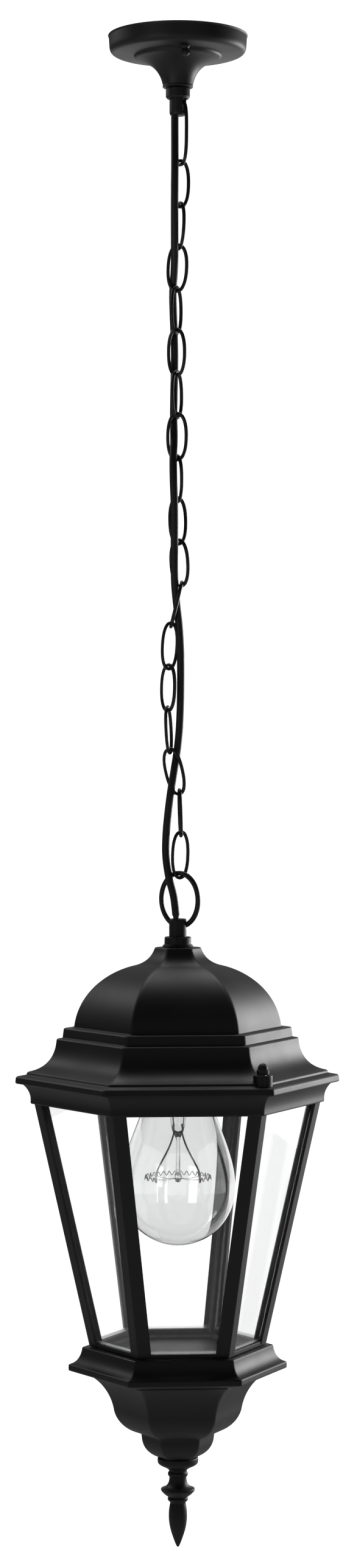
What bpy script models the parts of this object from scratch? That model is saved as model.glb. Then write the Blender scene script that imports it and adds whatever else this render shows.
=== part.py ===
"""Hexagonal hanging lantern on a chain, with its ceiling canopy, cable and lamp.

Frame: metres, +Z up, origin at the centre of the ceiling plane. The lantern hangs below it.
Corner radii are those of a hexagon's corners; plain radii are those of round pieces.
"""
import math

import bmesh
import bpy
from mathutils import Matrix, Vector

MM = 0.001
GAP = 0.3  # running gap between pieces that touch, mm

# driving dimensions, mm
CANOPY_RADIUS = 39.8
CANOPY_DEPTH = 29.8
CANOPY_STEM_RADIUS = 4.8
CANOPY_STEM_TOP = -20.0
CANOPY_STEM_END = -45.6
FIRST_LINK_TOP = -37.6
SCREW_RADIUS_FROM_AXIS = 28.5
SCREW_TURN = math.radians(-81.5)

WIRE = 1.9  # chain wire diameter
LINK_LENGTH = 28.0
LINK_WIDTH = 12.4
FIRST_LINK_LENGTH = 37.5
FIRST_LINK_WIDTH = 14.0
RING_WIRE = 2.8
RING_LENGTH = 33.2
RING_WIDTH = 25.7
CABLE = 4.4  # cable diameter
CABLE_BORE = CABLE / 2 + GAP

STEM_RADIUS = 5.0
RIM_TO_RING_HOLE = 84.9  # from the roof's rim up to the ring's lowest point
STUD_RADIUS = 1.7
STUD_FROM_AXIS = 82.8
STUD_TURNS = (math.radians(-60.0), math.radians(120.0))
POST_TOP = (81.6, -15.4)  # corner radius and height where a post leaves the cornice
POST_FOOT = (50.6, -152.6)
POST_FLANGE = 7.5
POST_WALL = 2.0
POST_WEB = (8.8, 2.0)  # depth from the corner and thickness of the rib behind each post
PANE = 1.6
PANE_EDGE_GAP = 1.7  # from a pane's edge to where two panes would meet
FILAMENT_RADIUS = 18.2
HEX_TURN = math.radians(4.2)  # the hexagon is turned a little about the axis

# how each link is turned about the chain, degrees, from the canopy down
LINK_TURNS = (-60, 30, -60, 0, 60, -30, 60, 0, -60, 31, -25, -88, 38, -45, 74, -26, -85, 34)
RING_TURN = -25

# where each link rests on the one above, mm in x: the chain hangs a little crooked
CHAIN_SWAY = (
    1.8, 1.7, 1.2, 0.2, -0.9, -0.8, -0.7, -0.4, -0.6, -0.3,
    0.2, 1.7, -4.0, -5.3, -5.8, -4.6, 0.9, 1.7, 1.0,
)


def turned(angle, radius=1.0):
    """A point in plan at an angle and a radius."""
    return Vector((radius * math.cos(angle), radius * math.sin(angle), 0.0))


# the ring and the first link pass beside the cable, each through a slot set off the stem's axis
FIRST_LINK_SIDE = turned(math.radians(LINK_TURNS[0] + 90))
RING_SIDE = turned(math.radians(RING_TURN + 90))
SLOT_OFFSET = 2.3
RING_SLOT_OFFSET = 2.4
BORE_OFFSET = 2.05
RING_BORE_OFFSET = 2.2


def chain_joints():
    """The centre of each crossing, mm, from the canopy's slot to the lantern's."""
    start = FIRST_LINK_SIDE * SLOT_OFFSET
    joints = [Vector((start.x, start.y, FIRST_LINK_TOP))]
    link_reach = LINK_LENGTH - 2 * WIRE - GAP
    reaches = [FIRST_LINK_LENGTH - WIRE] + [link_reach] * 17
    reaches.append(RING_LENGTH - RING_WIRE / 2 - RING_WIRE / 2 - (WIRE + RING_WIRE) / 2 - GAP)
    places = [Vector((x, 0, 0)) for x in CHAIN_SWAY[1:]] + [RING_SIDE * RING_SLOT_OFFSET]
    for reach, place in zip(reaches, places):
        above = joints[-1]
        aside = math.hypot(place.x - above.x, place.y - above.y)
        joints.append(Vector((place.x, place.y, above.z - math.sqrt(reach**2 - aside**2))))
    return joints


JOINTS = chain_joints()
RIM = JOINTS[-1].z - RIM_TO_RING_HOLE  # height of the roof's rim, mm

# the cable's route, mm: out of the canopy's stem, through four links, into the lantern's stem
CABLE_ROUTE = (
    (-1.78, -1.02, -17.0), (-1.78, -1.02, -32.0), (-1.78, -1.02, -46.0),
    (-1.75, -2.67, -58.5), (-1.73, -5.46, -73.4), (-1.81, -6.60, -85.5),
    (-1.88, -6.68, -97.2), (-1.87, -5.76, -109.5), (-1.85, -3.50, -121.0),
    (-2.01, 0.54, -132.8), (-2.81, 4.45, -144.9), (-2.62, 6.05, -156.8),
    (-2.14, 6.25, -168.8), (-1.89, 6.11, -180.7), (-2.00, 5.97, -192.7),
    (-2.28, 5.44, -204.6), (-2.42, 3.55, -216.6), (-2.19, -0.32, -228.5),
    (-2.67, -4.24, -240.5), (-2.52, -6.08, -252.4), (-2.05, -6.48, -264.4),
    (-1.89, -6.05, -276.3), (-1.96, -5.23, -288.2), (-1.99, -3.91, -300.1),
    (-1.68, -2.35, -312.0), (-0.55, -1.32, -323.6), (0.71, -0.87, -335.0),
    (1.46, -0.36, -347.0), (1.66, 0.03, -358.8), (1.61, 0.52, -370.8),
    (1.36, 1.37, -382.7), (0.76, 2.11, -394.6), (-0.50, 1.91, -406.5),
    (-2.32, -0.24, -418.3), (-4.14, -2.05, -429.8), (-5.63, -1.81, -441.8),
    (-6.67, -1.01, -453.6), (-6.78, -0.90, -465.4), (-5.13, -1.59, -477.4),
    (-2.30, -1.98, -489.0), (-0.93, -1.99, -501.6), (-0.93, -1.99, -508.1),
)
CABLE_PIECES = 10
CABLE_JOINT = 0.25  # half the gap between two pieces of the cable


def clear_scene():
    """Remove every object that the file starts with."""
    for thing in list(bpy.data.objects):
        bpy.data.objects.remove(thing, do_unlink=True)


def finish(name, colour, roughness, metallic=0.0):
    """A Principled material of one colour."""
    material = bpy.data.materials.new(name)
    material.use_nodes = True
    shader = material.node_tree.nodes["Principled BSDF"]
    shader.inputs["Base Color"].default_value = (*colour, 1.0)
    shader.inputs["Roughness"].default_value = roughness
    shader.inputs["Metallic"].default_value = metallic
    return material


def add(name, data, material, origin=(0, 0, 0)):
    """Put mesh or curve data into the scene as a named object; origin is in mm."""
    data.materials.append(material)
    thing = bpy.data.objects.new(name, data)
    thing.location = Vector(origin) * MM
    bpy.context.collection.objects.link(thing)
    return thing


def to_mesh(name, shape, origin=(0, 0, 0), smooth=False):
    """Turn a bmesh in mm into mesh data in metres about an origin in mm."""
    bmesh.ops.remove_doubles(shape, verts=shape.verts, dist=1e-5)
    bmesh.ops.recalc_face_normals(shape, faces=shape.faces)
    bmesh.ops.translate(shape, verts=shape.verts, vec=-Vector(origin))
    bmesh.ops.scale(shape, verts=shape.verts, vec=(MM, MM, MM))
    mesh = bpy.data.meshes.new(name)
    shape.to_mesh(mesh)
    shape.free()
    if smooth:
        mesh.shade_smooth()
        mesh.set_sharp_from_angle(angle=math.radians(35))
    return mesh


def spun(outline, sides, turn=0.0, centre=(0, 0)):
    """A closed outline of (radius, height) points spun about a vertical axis, as a bmesh in mm."""
    shape = bmesh.new()
    start = turned(turn)
    points = [shape.verts.new((start.x * r, start.y * r, z)) for r, z in outline]
    solid = outline[0][0] == 0 and outline[-1][0] == 0
    pairs = list(zip(points, points[1:]))
    if not solid:
        pairs.append((points[-1], points[0]))
    edges = [shape.edges.new(pair) for pair in pairs]
    bmesh.ops.spin(
        shape, geom=points + edges, cent=(0, 0, 0), axis=(0, 0, 1),
        angle=2 * math.pi, steps=sides, use_merge=True,
    )
    bmesh.ops.remove_doubles(shape, verts=shape.verts, dist=1e-5)
    bmesh.ops.translate(shape, verts=shape.verts, vec=(*centre, 0))
    return shape


def turning(name, outline, material, sides=20, origin=(0, 0, 0)):
    """A turned piece about the vertical axis through its origin; heights are absolute, mm."""
    shape = spun(outline, sides, centre=origin[:2])
    return add(name, to_mesh(name, shape, origin, smooth=True), material, origin)


def casting(name, outline, material, origin=(0, 0, 0)):
    """A six-sided piece with a corner at the hexagon's turn."""
    return add(name, to_mesh(name, spun(outline, 6, HEX_TURN), origin), material, origin)


def block(low, high):
    """A box between two corners, mm."""
    shape = bmesh.new()
    bmesh.ops.create_cube(shape, size=1.0)
    low, high = Vector(low), Vector(high)
    bmesh.ops.scale(shape, verts=shape.verts, vec=high - low)
    bmesh.ops.translate(shape, verts=shape.verts, vec=(low + high) / 2)
    return shape


def strap(half_outline, half_width):
    """An outline of (x, height) points mirrored about the axis and extruded to both sides in y, mm."""
    shape = bmesh.new()
    outline = half_outline + [(-x, z) for x, z in half_outline[::-1]]
    face = shape.faces.new([shape.verts.new((x, -half_width, z)) for x, z in outline])
    grown = bmesh.ops.extrude_face_region(shape, geom=[face])
    moved = [v for v in grown["geom"] if isinstance(v, bmesh.types.BMVert)]
    bmesh.ops.translate(shape, verts=moved, vec=(0, 2 * half_width, 0))
    return shape


def rod(radius, start, end, sides=16):
    """A cylinder between two points, mm."""
    start, end = Vector(start), Vector(end)
    along = end - start
    shape = bmesh.new()
    bmesh.ops.create_cone(
        shape, cap_ends=True, segments=sides, radius1=radius, radius2=radius, depth=along.length,
    )
    place = Matrix.Translation((start + end) / 2) @ along.to_track_quat("Z", "Y").to_matrix().to_4x4()
    bmesh.ops.transform(shape, matrix=place, verts=shape.verts)
    return shape


def slot(centre, turn, width, height, length):
    """A level slot, round at its top and foot, through a point along a plan direction, mm."""
    shape = bmesh.new()
    half = height / 2 - width / 2
    outline = []
    for lift, first in ((half, 0.0), (-half, math.pi)):
        for step in range(7):
            angle = first + math.pi * step / 6
            outline.append((width / 2 * math.cos(angle), lift + width / 2 * math.sin(angle)))
    verts = [shape.verts.new((-length / 2, y, z)) for y, z in outline]
    face = shape.faces.new(verts)
    grown = bmesh.ops.extrude_face_region(shape, geom=[face])
    moved = [v for v in grown["geom"] if isinstance(v, bmesh.types.BMVert)]
    bmesh.ops.translate(shape, verts=moved, vec=(length, 0, 0))
    place = Matrix.Translation(Vector(centre)) @ Matrix.Rotation(turn, 4, "Z")
    bmesh.ops.transform(shape, matrix=place, verts=shape.verts)
    return shape


def tool(thing, name, shape, operation):
    """Give a piece a Boolean modifier with a hidden tool body."""
    mesh = to_mesh(name, shape)
    helper = bpy.data.objects.new(name, mesh)
    helper.hide_render = True
    helper.display_type = "WIRE"
    bpy.context.collection.objects.link(helper)
    modifier = thing.modifiers.new(name, "BOOLEAN")
    modifier.operation = operation
    modifier.object = helper
    modifier.solver = "EXACT"


def cut(thing, name, shape):
    """Cut a shape out of a piece."""
    tool(thing, name, shape, "DIFFERENCE")


def weld(thing, name, shape):
    """Join a shape to a piece."""
    tool(thing, name, shape, "UNION")


def bezier(start, first, second, end, steps):
    """Points along one cubic curve in an outline, without its first point."""
    points = []
    for step in range(1, steps + 1):
        t = step / steps
        weights = ((1 - t) ** 3, 3 * t * (1 - t) ** 2, 3 * t**2 * (1 - t), t**3)
        corners = (start, first, second, end)
        points.append(tuple(sum(w * c[i] for w, c in zip(weights, corners)) for i in (0, 1)))
    return points


def raised(outline, height):
    """An outline moved up by a height."""
    return [(r, z + height) for r, z in outline]


def nut(name, radius, bore, low, high, material, origin):
    """A hexagon nut with a round bore."""
    inner = bore / math.cos(math.pi / 6) + 0.05
    outline = [(inner, low), (radius, low), (radius, high), (inner, high)]
    shape = spun(outline, 6, math.pi / 6, centre=origin[:2])
    return add(name, to_mesh(name, shape, origin), material, origin)


def wire_loop(name, length, width, wire, power, points):
    """A closed loop of wire in its own XZ plane, hanging from its origin, as curve data."""
    half_long = (length - wire) / 2
    half_wide = (width - wire) / 2
    curve = bpy.data.curves.new(name, "CURVE")
    curve.dimensions = "3D"
    spline = curve.splines.new("POLY")
    spline.points.add(points - 1)
    full = math.cos(math.pi / points) ** (2 / power)  # a straight stretch lies on each end and side
    for number, point in enumerate(spline.points):
        angle = 2 * math.pi * (number + 0.5) / points
        across, up = math.cos(angle), math.sin(angle)
        x = half_wide * math.copysign(abs(across) ** (2 / power), across) / full
        z = half_long * math.copysign(abs(up) ** (2 / power), up) / full
        point.co = (x * MM, 0, (z - half_long) * MM, 1)
    spline.use_cyclic_u = True
    curve.bevel_depth = wire / 2 * MM
    curve.bevel_resolution = 1
    curve.use_fill_caps = True
    return curve


def hang(name, curve, top, foot, turn, drop, material):
    """Hang a wire loop from a joint towards the next, turned about that line."""
    down = (foot - top).normalized()
    lean = Vector((0, 0, -1)).rotation_difference(down).to_matrix().to_4x4()
    thing = bpy.data.objects.new(name, curve)
    if not curve.materials:
        curve.materials.append(material)
    place = Matrix.Translation((top - down * drop) * MM)
    thing.matrix_world = place @ lean @ Matrix.Rotation(turn, 4, "Z")
    bpy.context.collection.objects.link(thing)
    return thing


def smooth_route(route, per_span):
    """Points of a smooth curve through a route, with the number of the route's point each belongs to."""
    points = [Vector(p) for p in route]
    ends = [2 * points[0] - points[1]] + points + [2 * points[-1] - points[-2]]
    line = []
    for number in range(len(points) - 1):
        before, here, there, after = ends[number:number + 4]
        for step in range(per_span):
            t = step / per_span
            line.append(
                0.5 * (2 * here + (there - before) * t
                       + (2 * before - 5 * here + 4 * there - after) * t**2
                       + (3 * here - before - 3 * there + after) * t**3)
            )
    line.append(points[-1])
    return line


def tube(name, points, radius, material, resolution=2):
    """A round cord along points, with filled ends, as a curve object."""
    curve = bpy.data.curves.new(name, "CURVE")
    curve.dimensions = "3D"
    spline = curve.splines.new("POLY")
    spline.points.add(len(points) - 1)
    for place, point in zip(points, spline.points):
        point.co = (*(Vector(place) * MM), 1)
    curve.bevel_depth = radius * MM
    curve.bevel_resolution = resolution
    curve.use_fill_caps = True
    return add(name, curve, material)


def cut_line(line, height):
    """The point where a falling line passes a height."""
    for above, below in zip(line, line[1:]):
        if above.z >= height >= below.z:
            share = (above.z - height) / (above.z - below.z)
            return above.lerp(below, share)
    return line[-1]


# ------------------------------------------------------------------ ceiling group

def make_canopy(powder, steel, brass, ceramic):
    """The ceiling cup with its bracket, screws, stem, collar, lock nut and terminal block."""
    edge = CANOPY_RADIUS
    outer = [(edge, 0), (edge - 0.8, -1.0), (edge - 0.9, -6.0)]
    outer += bezier(outer[-1], (edge - 1.0, -9.2), (edge - 2.2, -10.2), (35.4, -10.6), 3)
    outer += [(24.9, -11.4), (24.3, -13.1), (22.5, -13.9)]
    outer += bezier(outer[-1], (16.0, -15.2), (10.0, -20.0), (8.4, -28.8), 6)
    outer += [(8.6, -29.3), (8.0, -CANOPY_DEPTH)]
    inner = [(5.3, -CANOPY_DEPTH), (5.3, -28.6), (7.4, -28.6)]
    inner += bezier(inner[-1], (8.9, -19.6), (15.4, -14.2), (23.0, -12.4), 5)
    inner += [(24.2, -10.4), (34.8, -9.6), (37.4, -8.0), (37.9, -6.0), (38.0, 0)]
    canopy = turning("canopy", outer + inner, powder, sides=28)

    arm = turned(SCREW_TURN)
    bracket = add("ceiling_bracket", to_mesh("ceiling_bracket", block((-32, -8, -2.2), (32, 8, 0))), steel)
    bracket.rotation_euler.z = SCREW_TURN
    screw_place = arm * SCREW_RADIUS_FROM_AXIS
    cut(bracket, "screw_slots", joined(
        slot_up(arm, 17.0, 4.4, 9.0), slot_up(arm, -17.0, 4.4, 9.0),
        rod(2.1, screw_place + Vector((0, 0, -5)), screw_place + Vector((0, 0, 5))),
        rod(2.1, -screw_place + Vector((0, 0, -5)), -screw_place + Vector((0, 0, 5))),
    ))
    screw = [(0, -17.6), (1.5, -17.3), (2.3, -16.4), (2.4, -14.8), (1.9, -13.9), (1.9, -13.0),
             (2.5, -12.7), (2.5, -11.6), (1.5, -11.6), (1.5, -0.8), (0, -0.8)]
    holes = []
    for number, side in ((1, 1), (2, -1)):
        place = arm * (side * SCREW_RADIUS_FROM_AXIS)
        turning(f"canopy_screw_{number}", screw, steel, 12, (place.x, place.y, -11.6))
        holes.append(rod(1.9, place + Vector((0, 0, -15)), place + Vector((0, 0, -5)), 12))
    cut(canopy, "canopy_screw_holes", joined(*holes))

    stem = turning("canopy_stem", [
        (0, CANOPY_STEM_TOP), (5.9, CANOPY_STEM_TOP), (6.6, -20.7), (6.6, -28.3),
        (CANOPY_STEM_RADIUS, -28.3), (CANOPY_STEM_RADIUS, -43.6),
        (3.9, CANOPY_STEM_END + 0.6), (3.0, CANOPY_STEM_END), (0, CANOPY_STEM_END)], brass, 20)
    cut(stem, "first_link_slot", slot(
        JOINTS[0] - Vector((0, 0, 2.5)), math.radians(LINK_TURNS[0]), 3.3, 8.6, 14))
    bore = FIRST_LINK_SIDE * -BORE_OFFSET
    foot, head = bore + Vector((0, 0, -60)), bore + Vector((0, 0, -10))
    cut(stem, "canopy_stem_bore", rod(CABLE_BORE, foot, head, 20))
    turning("canopy_collar", [
        (5.15, -30.1), (6.6, -30.1), (6.8, -30.4), (6.8, -35.0), (5.9, -36.0), (5.15, -36.0)], powder, 20)
    shape = block((-10, -6, -16.2), (10, 6, -2.5))
    terminal = add("terminal_block", to_mesh("terminal_block", shape), ceramic)
    terminal.rotation_euler.z = SCREW_TURN
    along = turned(SCREW_TURN + math.pi / 2)
    level = Vector((0, 0, -12))
    ways = [rod(1.5, arm * x - along * 9 + level, arm * x + along * 9 + level, 10) for x in (-5, 5)]
    cut(terminal, "wire_ways", joined(*ways))


def joined(*shapes):
    """Several separate bodies as one bmesh."""
    whole = bmesh.new()
    for shape in shapes:
        part = bpy.data.meshes.new("part")
        bmesh.ops.recalc_face_normals(shape, faces=shape.faces)
        shape.to_mesh(part)
        shape.free()
        whole.from_mesh(part)
        bpy.data.meshes.remove(part)
    return whole


def slot_up(arm, distance, width, length):
    """An upright slot through the bracket, along its arm."""
    shape = slot((0, 0, 0), 0, width, length, 12)
    turn = Matrix.Rotation(math.atan2(arm.y, arm.x), 4, "Z") @ Matrix.Translation((distance, 0, 0))
    bmesh.ops.transform(shape, matrix=turn @ Matrix.Rotation(math.pi / 2, 4, "Y"), verts=shape.verts)
    return shape


# ------------------------------------------------------------------ chain and cable

def make_chain(black_wire):
    """Eighteen links and the ring, each hung from the one above."""
    first = wire_loop("first_link", FIRST_LINK_LENGTH, FIRST_LINK_WIDTH, WIRE, 3.0, 20)
    common = wire_loop("link", LINK_LENGTH, LINK_WIDTH, WIRE, 2.3, 16)
    for number, turn in enumerate(LINK_TURNS):
        curve = common if number else first
        drop = WIRE + GAP if number else 0.0
        hang(f"chain_link_{number + 1:02d}", curve, JOINTS[number], JOINTS[number + 1],
             math.radians(turn), drop, black_wire)
    ring = wire_loop("ring", RING_LENGTH, RING_WIDTH, RING_WIRE, 2.0, 24)
    hang("hanging_ring", ring, JOINTS[18], JOINTS[19], math.radians(RING_TURN),
         (WIRE + RING_WIRE) / 2 + GAP, black_wire)


def make_cable(sheath):
    """The cable, in pieces that meet at every second joint of the chain."""
    line = smooth_route(CABLE_ROUTE, 4)
    heights = [line[0].z] + [JOINTS[2 * n + 1].z for n in range(CABLE_PIECES - 1)] + [line[-1].z]
    for number in range(CABLE_PIECES):
        top = heights[number] - (CABLE_JOINT if number else 0)
        foot = heights[number + 1] + (CABLE_JOINT if number < CABLE_PIECES - 1 else 0)
        inside = [p for p in line[::3] if foot + 3 < p.z < top - 3]
        points = [cut_line(line, top)] + inside + [cut_line(line, foot)]
        tube(f"cable_{number + 1:02d}", points, CABLE / 2, sheath)


# ------------------------------------------------------------------ lantern

def make_stem(brass, powder, steel):
    """The stem that the ring carries, its collar and the nut under the roof."""
    stem = turning("lantern_stem", raised([
        (0, 61.5), (STEM_RADIUS, 61.5), (STEM_RADIUS, 88.8), (STEM_RADIUS - 0.6, 89.4), (0, 89.4)], RIM),
        brass, 20)
    centre = RING_SIDE * RING_SLOT_OFFSET + Vector((0, 0, RIM + RIM_TO_RING_HOLE + 0.55))
    cut(stem, "ring_slot", slot(centre, math.radians(RING_TURN), RING_WIRE + 1.0, 5.8, 14))
    bore = RING_SIDE * -RING_BORE_OFFSET
    cut(stem, "lantern_stem_bore", rod(
        CABLE_BORE, bore + Vector((0, 0, RIM + 50)), bore + Vector((0, 0, RIM + 95)), 20))
    turning("stem_collar", raised([
        (5.35, 73.5), (8.6, 73.5), (8.6, 74.4), (7.6, 74.8), (7.6, 78.7), (7.2, 79.1), (5.35, 79.1)], RIM),
        powder, 20)
    nut("stem_lock_nut", 7.8, 5.3, RIM + 64.0, RIM + 67.8, steel, (0, 0, 0))


def make_roof(powder):
    """The six-sided domed roof with its stepped mouldings, cove, rim and two stud bosses."""
    outer = [(6.4, 73.2), (13.0, 73.2), (13.6, 72.6)]
    outer += bezier(outer[-1], (15.5, 67.5), (19.5, 64.2), (25.5, 62.8), 4)
    outer += bezier(outer[-1], (42.0, 59.0), (58.0, 46.0), (59.5, 27.5), 8)
    outer += [(64.6, 27.5), (65.3, 26.9), (66.2, 21.9), (68.6, 21.6), (69.4, 20.9)]
    outer += bezier(outer[-1], (70.2, 12.5), (74.0, 5.0), (86.0, 2.5), 5)
    outer += [(86.5, 1.2), (91.6, 0.2), (92.5, -0.4), (92.8, -3.4), (92.2, -3.9)]
    inner = [(77.0, -3.9), (76.4, 2.0), (69.5, 7.5), (66.6, 15.0), (65.0, 18.5), (61.0, 23.6), (56.8, 25.0)]
    inner += bezier((56.8, 27.4), (55.2, 44.0), (40.5, 56.2), (25.0, 59.8), 5)
    inner += [(14.5, 65.0), (11.4, 70.2), (6.4, 70.2)]
    roof = casting("roof", raised(outer + inner, RIM), powder)
    bosses, holes = [], []
    for angle in STUD_TURNS:
        place = turned(angle + HEX_TURN, STUD_FROM_AXIS)
        bosses.append(rod(5.3, place + Vector((0, 0, RIM - 1.5)), place + Vector((0, 0, RIM + 7.2)), 20))
        holes.append(rod(2.2, place + Vector((0, 0, RIM - 9)), place + Vector((0, 0, RIM + 15)), 12))
    weld(roof, "stud_bosses", joined(*bosses))
    cut(roof, "stud_holes", joined(*holes))


def make_cap_nuts(brass):
    """Two domed nuts on the roof's bosses."""
    for number, angle in enumerate(STUD_TURNS, 1):
        place = turned(angle + HEX_TURN, STUD_FROM_AXIS)
        outline = raised([
            (2.05, 7.5), (3.3, 7.5), (3.4, 8.0), (3.3, 9.9), (2.7, 10.2), (2.65, 11.4), (2.0, 12.8),
            (0, 13.5), (0, 12.6), (2.05, 12.2)], RIM)
        shape = cup(outline, 12, (place.x, place.y))
        add(f"cap_nut_{number}", to_mesh(f"cap_nut_{number}", shape, (*place.xy, RIM), smooth=True),
            brass, (*place.xy, RIM))


def cup(outline, sides, centre):
    """A spun piece whose outline touches the axis twice in the middle of its list."""
    start = next(n for n in range(len(outline)) if outline[n][0] == 0 and outline[n + 1][0] == 0)
    turned_list = outline[start + 1:] + outline[:start + 1]
    return spun(turned_list, sides, centre=centre)


def corner(angle, radius, height):
    """A point on the hexagon's corner line."""
    return turned(angle, radius) + Vector((0, 0, height))


def post(angle):
    """One corner post with two flanges and a rib behind them, leaning in towards its foot."""
    shape = bmesh.new()
    loops = []
    for radius, height in ((POST_TOP[0] + 0.4, POST_TOP[1] + 1.8), POST_FOOT):
        section = []
        for side in (1, -1):
            way = turned(angle + side * math.radians(120))
            inward = turned(angle + side * math.radians(210))
            outer_end = corner(angle, radius, height) + way * POST_FLANGE
            inner_end = outer_end + inward * POST_WALL
            offset = turned(angle + side * math.pi / 2, POST_WEB[1] / 2)
            root = radius - POST_WALL / math.cos(math.pi / 6) - POST_WEB[1] / 2 * math.tan(math.pi / 6)
            web_root = corner(angle, root, height) + offset
            web_tip = corner(angle, radius - POST_WEB[0], height) + offset
            section.append([outer_end, inner_end, web_root, web_tip])
        places = [corner(angle, radius, height), *section[0], *section[1][::-1]]
        loops.append([shape.verts.new(p) for p in places])
    shape.faces.new(loops[0])
    shape.faces.new(loops[1][::-1])
    for n in range(9):
        m = (n + 1) % 9
        shape.faces.new((loops[0][n], loops[1][n], loops[1][m], loops[0][m]))
    return shape


def make_cage(powder):
    """The glazing cage: cornice ring, six ribbed posts, foot ring and the two studs."""
    cornice = [(88.4, -4.2)]
    cornice += bezier(cornice[0], (86.4, -5.6), (84.2, -8.4), (83.9, -12.4), 4)
    cornice += [(83.9, -15.0), (83.4, -15.4), (77.5, -15.4), (77.5, -9.0), (79.0, -4.2)]
    cage = casting("cage_frame", raised(cornice, RIM), powder)
    angles = [HEX_TURN + math.radians(60 * n) for n in range(6)]
    weld(cage, "posts", moved_up(joined(*[post(a) for a in angles]), RIM))
    foot_ring = [(50.4, -151.3), (50.2, -153.4), (43.8, -153.4), (43.8, -151.3)]
    weld(cage, "foot_ring", spun(raised(foot_ring, RIM), 6, HEX_TURN))
    studs = []
    for angle in STUD_TURNS:
        place = turned(angle + HEX_TURN, STUD_FROM_AXIS)
        foot, head = place + Vector((0, 0, RIM - 7)), place + Vector((0, 0, RIM + 11.8))
        studs.append(rod(STUD_RADIUS, foot, head, 12))
    weld(cage, "studs", joined(*studs))


def moved_up(shape, height):
    """A bmesh moved up by a height, mm."""
    bmesh.ops.translate(shape, verts=shape.verts, vec=(0, 0, height))
    return shape


def post_radius(height):
    """Corner radius of the posts' outer corner at a height above the rim."""
    share = (POST_TOP[1] - height) / (POST_TOP[1] - POST_FOOT[1])
    return POST_TOP[0] + (POST_FOOT[0] - POST_TOP[0]) * share


def make_panes(glass):
    """Six flat panes inside the posts."""
    for number in range(6):
        angle = HEX_TURN + math.radians(60 * number + 30)
        out, along = turned(angle), turned(angle + math.pi / 2)
        shape = bmesh.new()
        loops = []
        for height in (-16.0, -150.8):
            flat = post_radius(height) * math.cos(math.pi / 6)
            near, far = flat - POST_WALL - 0.45, flat - POST_WALL - 0.45 - PANE
            half = far * math.tan(math.pi / 6) - PANE_EDGE_GAP
            up = Vector((0, 0, height + RIM))
            places = [out * near + along * half, out * near - along * half,
                      out * far - along * half, out * far + along * half]
            loops.append([shape.verts.new(p + up) for p in places])
        shape.faces.new(loops[0])
        shape.faces.new(loops[1][::-1])
        for n in range(4):
            m = (n + 1) % 4
            shape.faces.new((loops[0][n], loops[1][n], loops[1][m], loops[0][m]))
        add(f"pane_{number + 1}", to_mesh(f"pane_{number + 1}", shape), glass)


def make_base(powder):
    """Tray, bowl and finial."""
    tray = [(0, -156.0), (42.8, -156.0), (43.4, -153.8), (54.3, -153.8), (54.7, -154.2)]
    tray += bezier(tray[-1], (55.3, -158.6), (58.0, -162.6), (62.1, -163.5), 5)
    tray += [(62.5, -163.9), (62.5, -166.8), (62.1, -167.2), (50.6, -170.1), (48.6, -168.4), (49.6, -161.0),
             (46.0, -158.8), (7.6, -158.8), (7.6, -171.5), (4.1, -171.5), (4.1, -160.4), (0, -160.0)]
    casting("tray", raised(tray, RIM), powder)
    bowl = [(49.9, -170.4)]
    bowl += bezier(bowl[-1], (43.0, -174.5), (38.2, -182.0), (36.9, -189.5), 5)
    bowl += bezier(bowl[-1], (35.9, -195.5), (30.5, -201.5), (22.2, -203.4), 5)
    bowl += [(21.1, -203.9), (21.0, -205.5)]
    bowl += bezier(bowl[-1], (20.6, -211.0), (17.5, -214.8), (11.8, -217.0), 4)
    bowl += [(4.1, -217.0), (4.1, -214.6), (10.6, -214.6), (17.9, -209.0), (18.6, -202.6), (28.0, -199.6),
             (33.4, -193.0), (34.6, -188.0), (38.4, -177.8), (47.2, -170.4)]
    casting("bowl", raised(bowl, RIM), powder)
    finial = [(0, -161.2), (3.0, -161.2), (3.0, -217.3), (11.5, -217.3), (11.5, -219.9), (10.8, -221.6),
              (8.2, -222.5), (6.4, -223.6), (5.0, -225.3), (5.8, -226.9), (4.9, -228.4)]
    finial += bezier(finial[-1], (4.8, -231.5), (5.8, -234.0), (9.5, -235.2), 4)
    finial += [(9.5, -236.4), (6.2, -239.4), (5.2, -240.0), (5.8, -240.9), (5.8, -241.8), (4.5, -243.1)]
    finial += bezier(finial[-1], (5.4, -248.0), (5.6, -253.0), (4.0, -259.2), 4)
    finial += bezier(finial[-1], (3.2, -262.0), (2.2, -265.0), (0.9, -268.0), 2)
    finial += [(0, -268.6)]
    turning("finial", raised(finial, RIM), powder, 18, (0, 0, RIM - 217.3))


# ------------------------------------------------------------------ lamp

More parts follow.
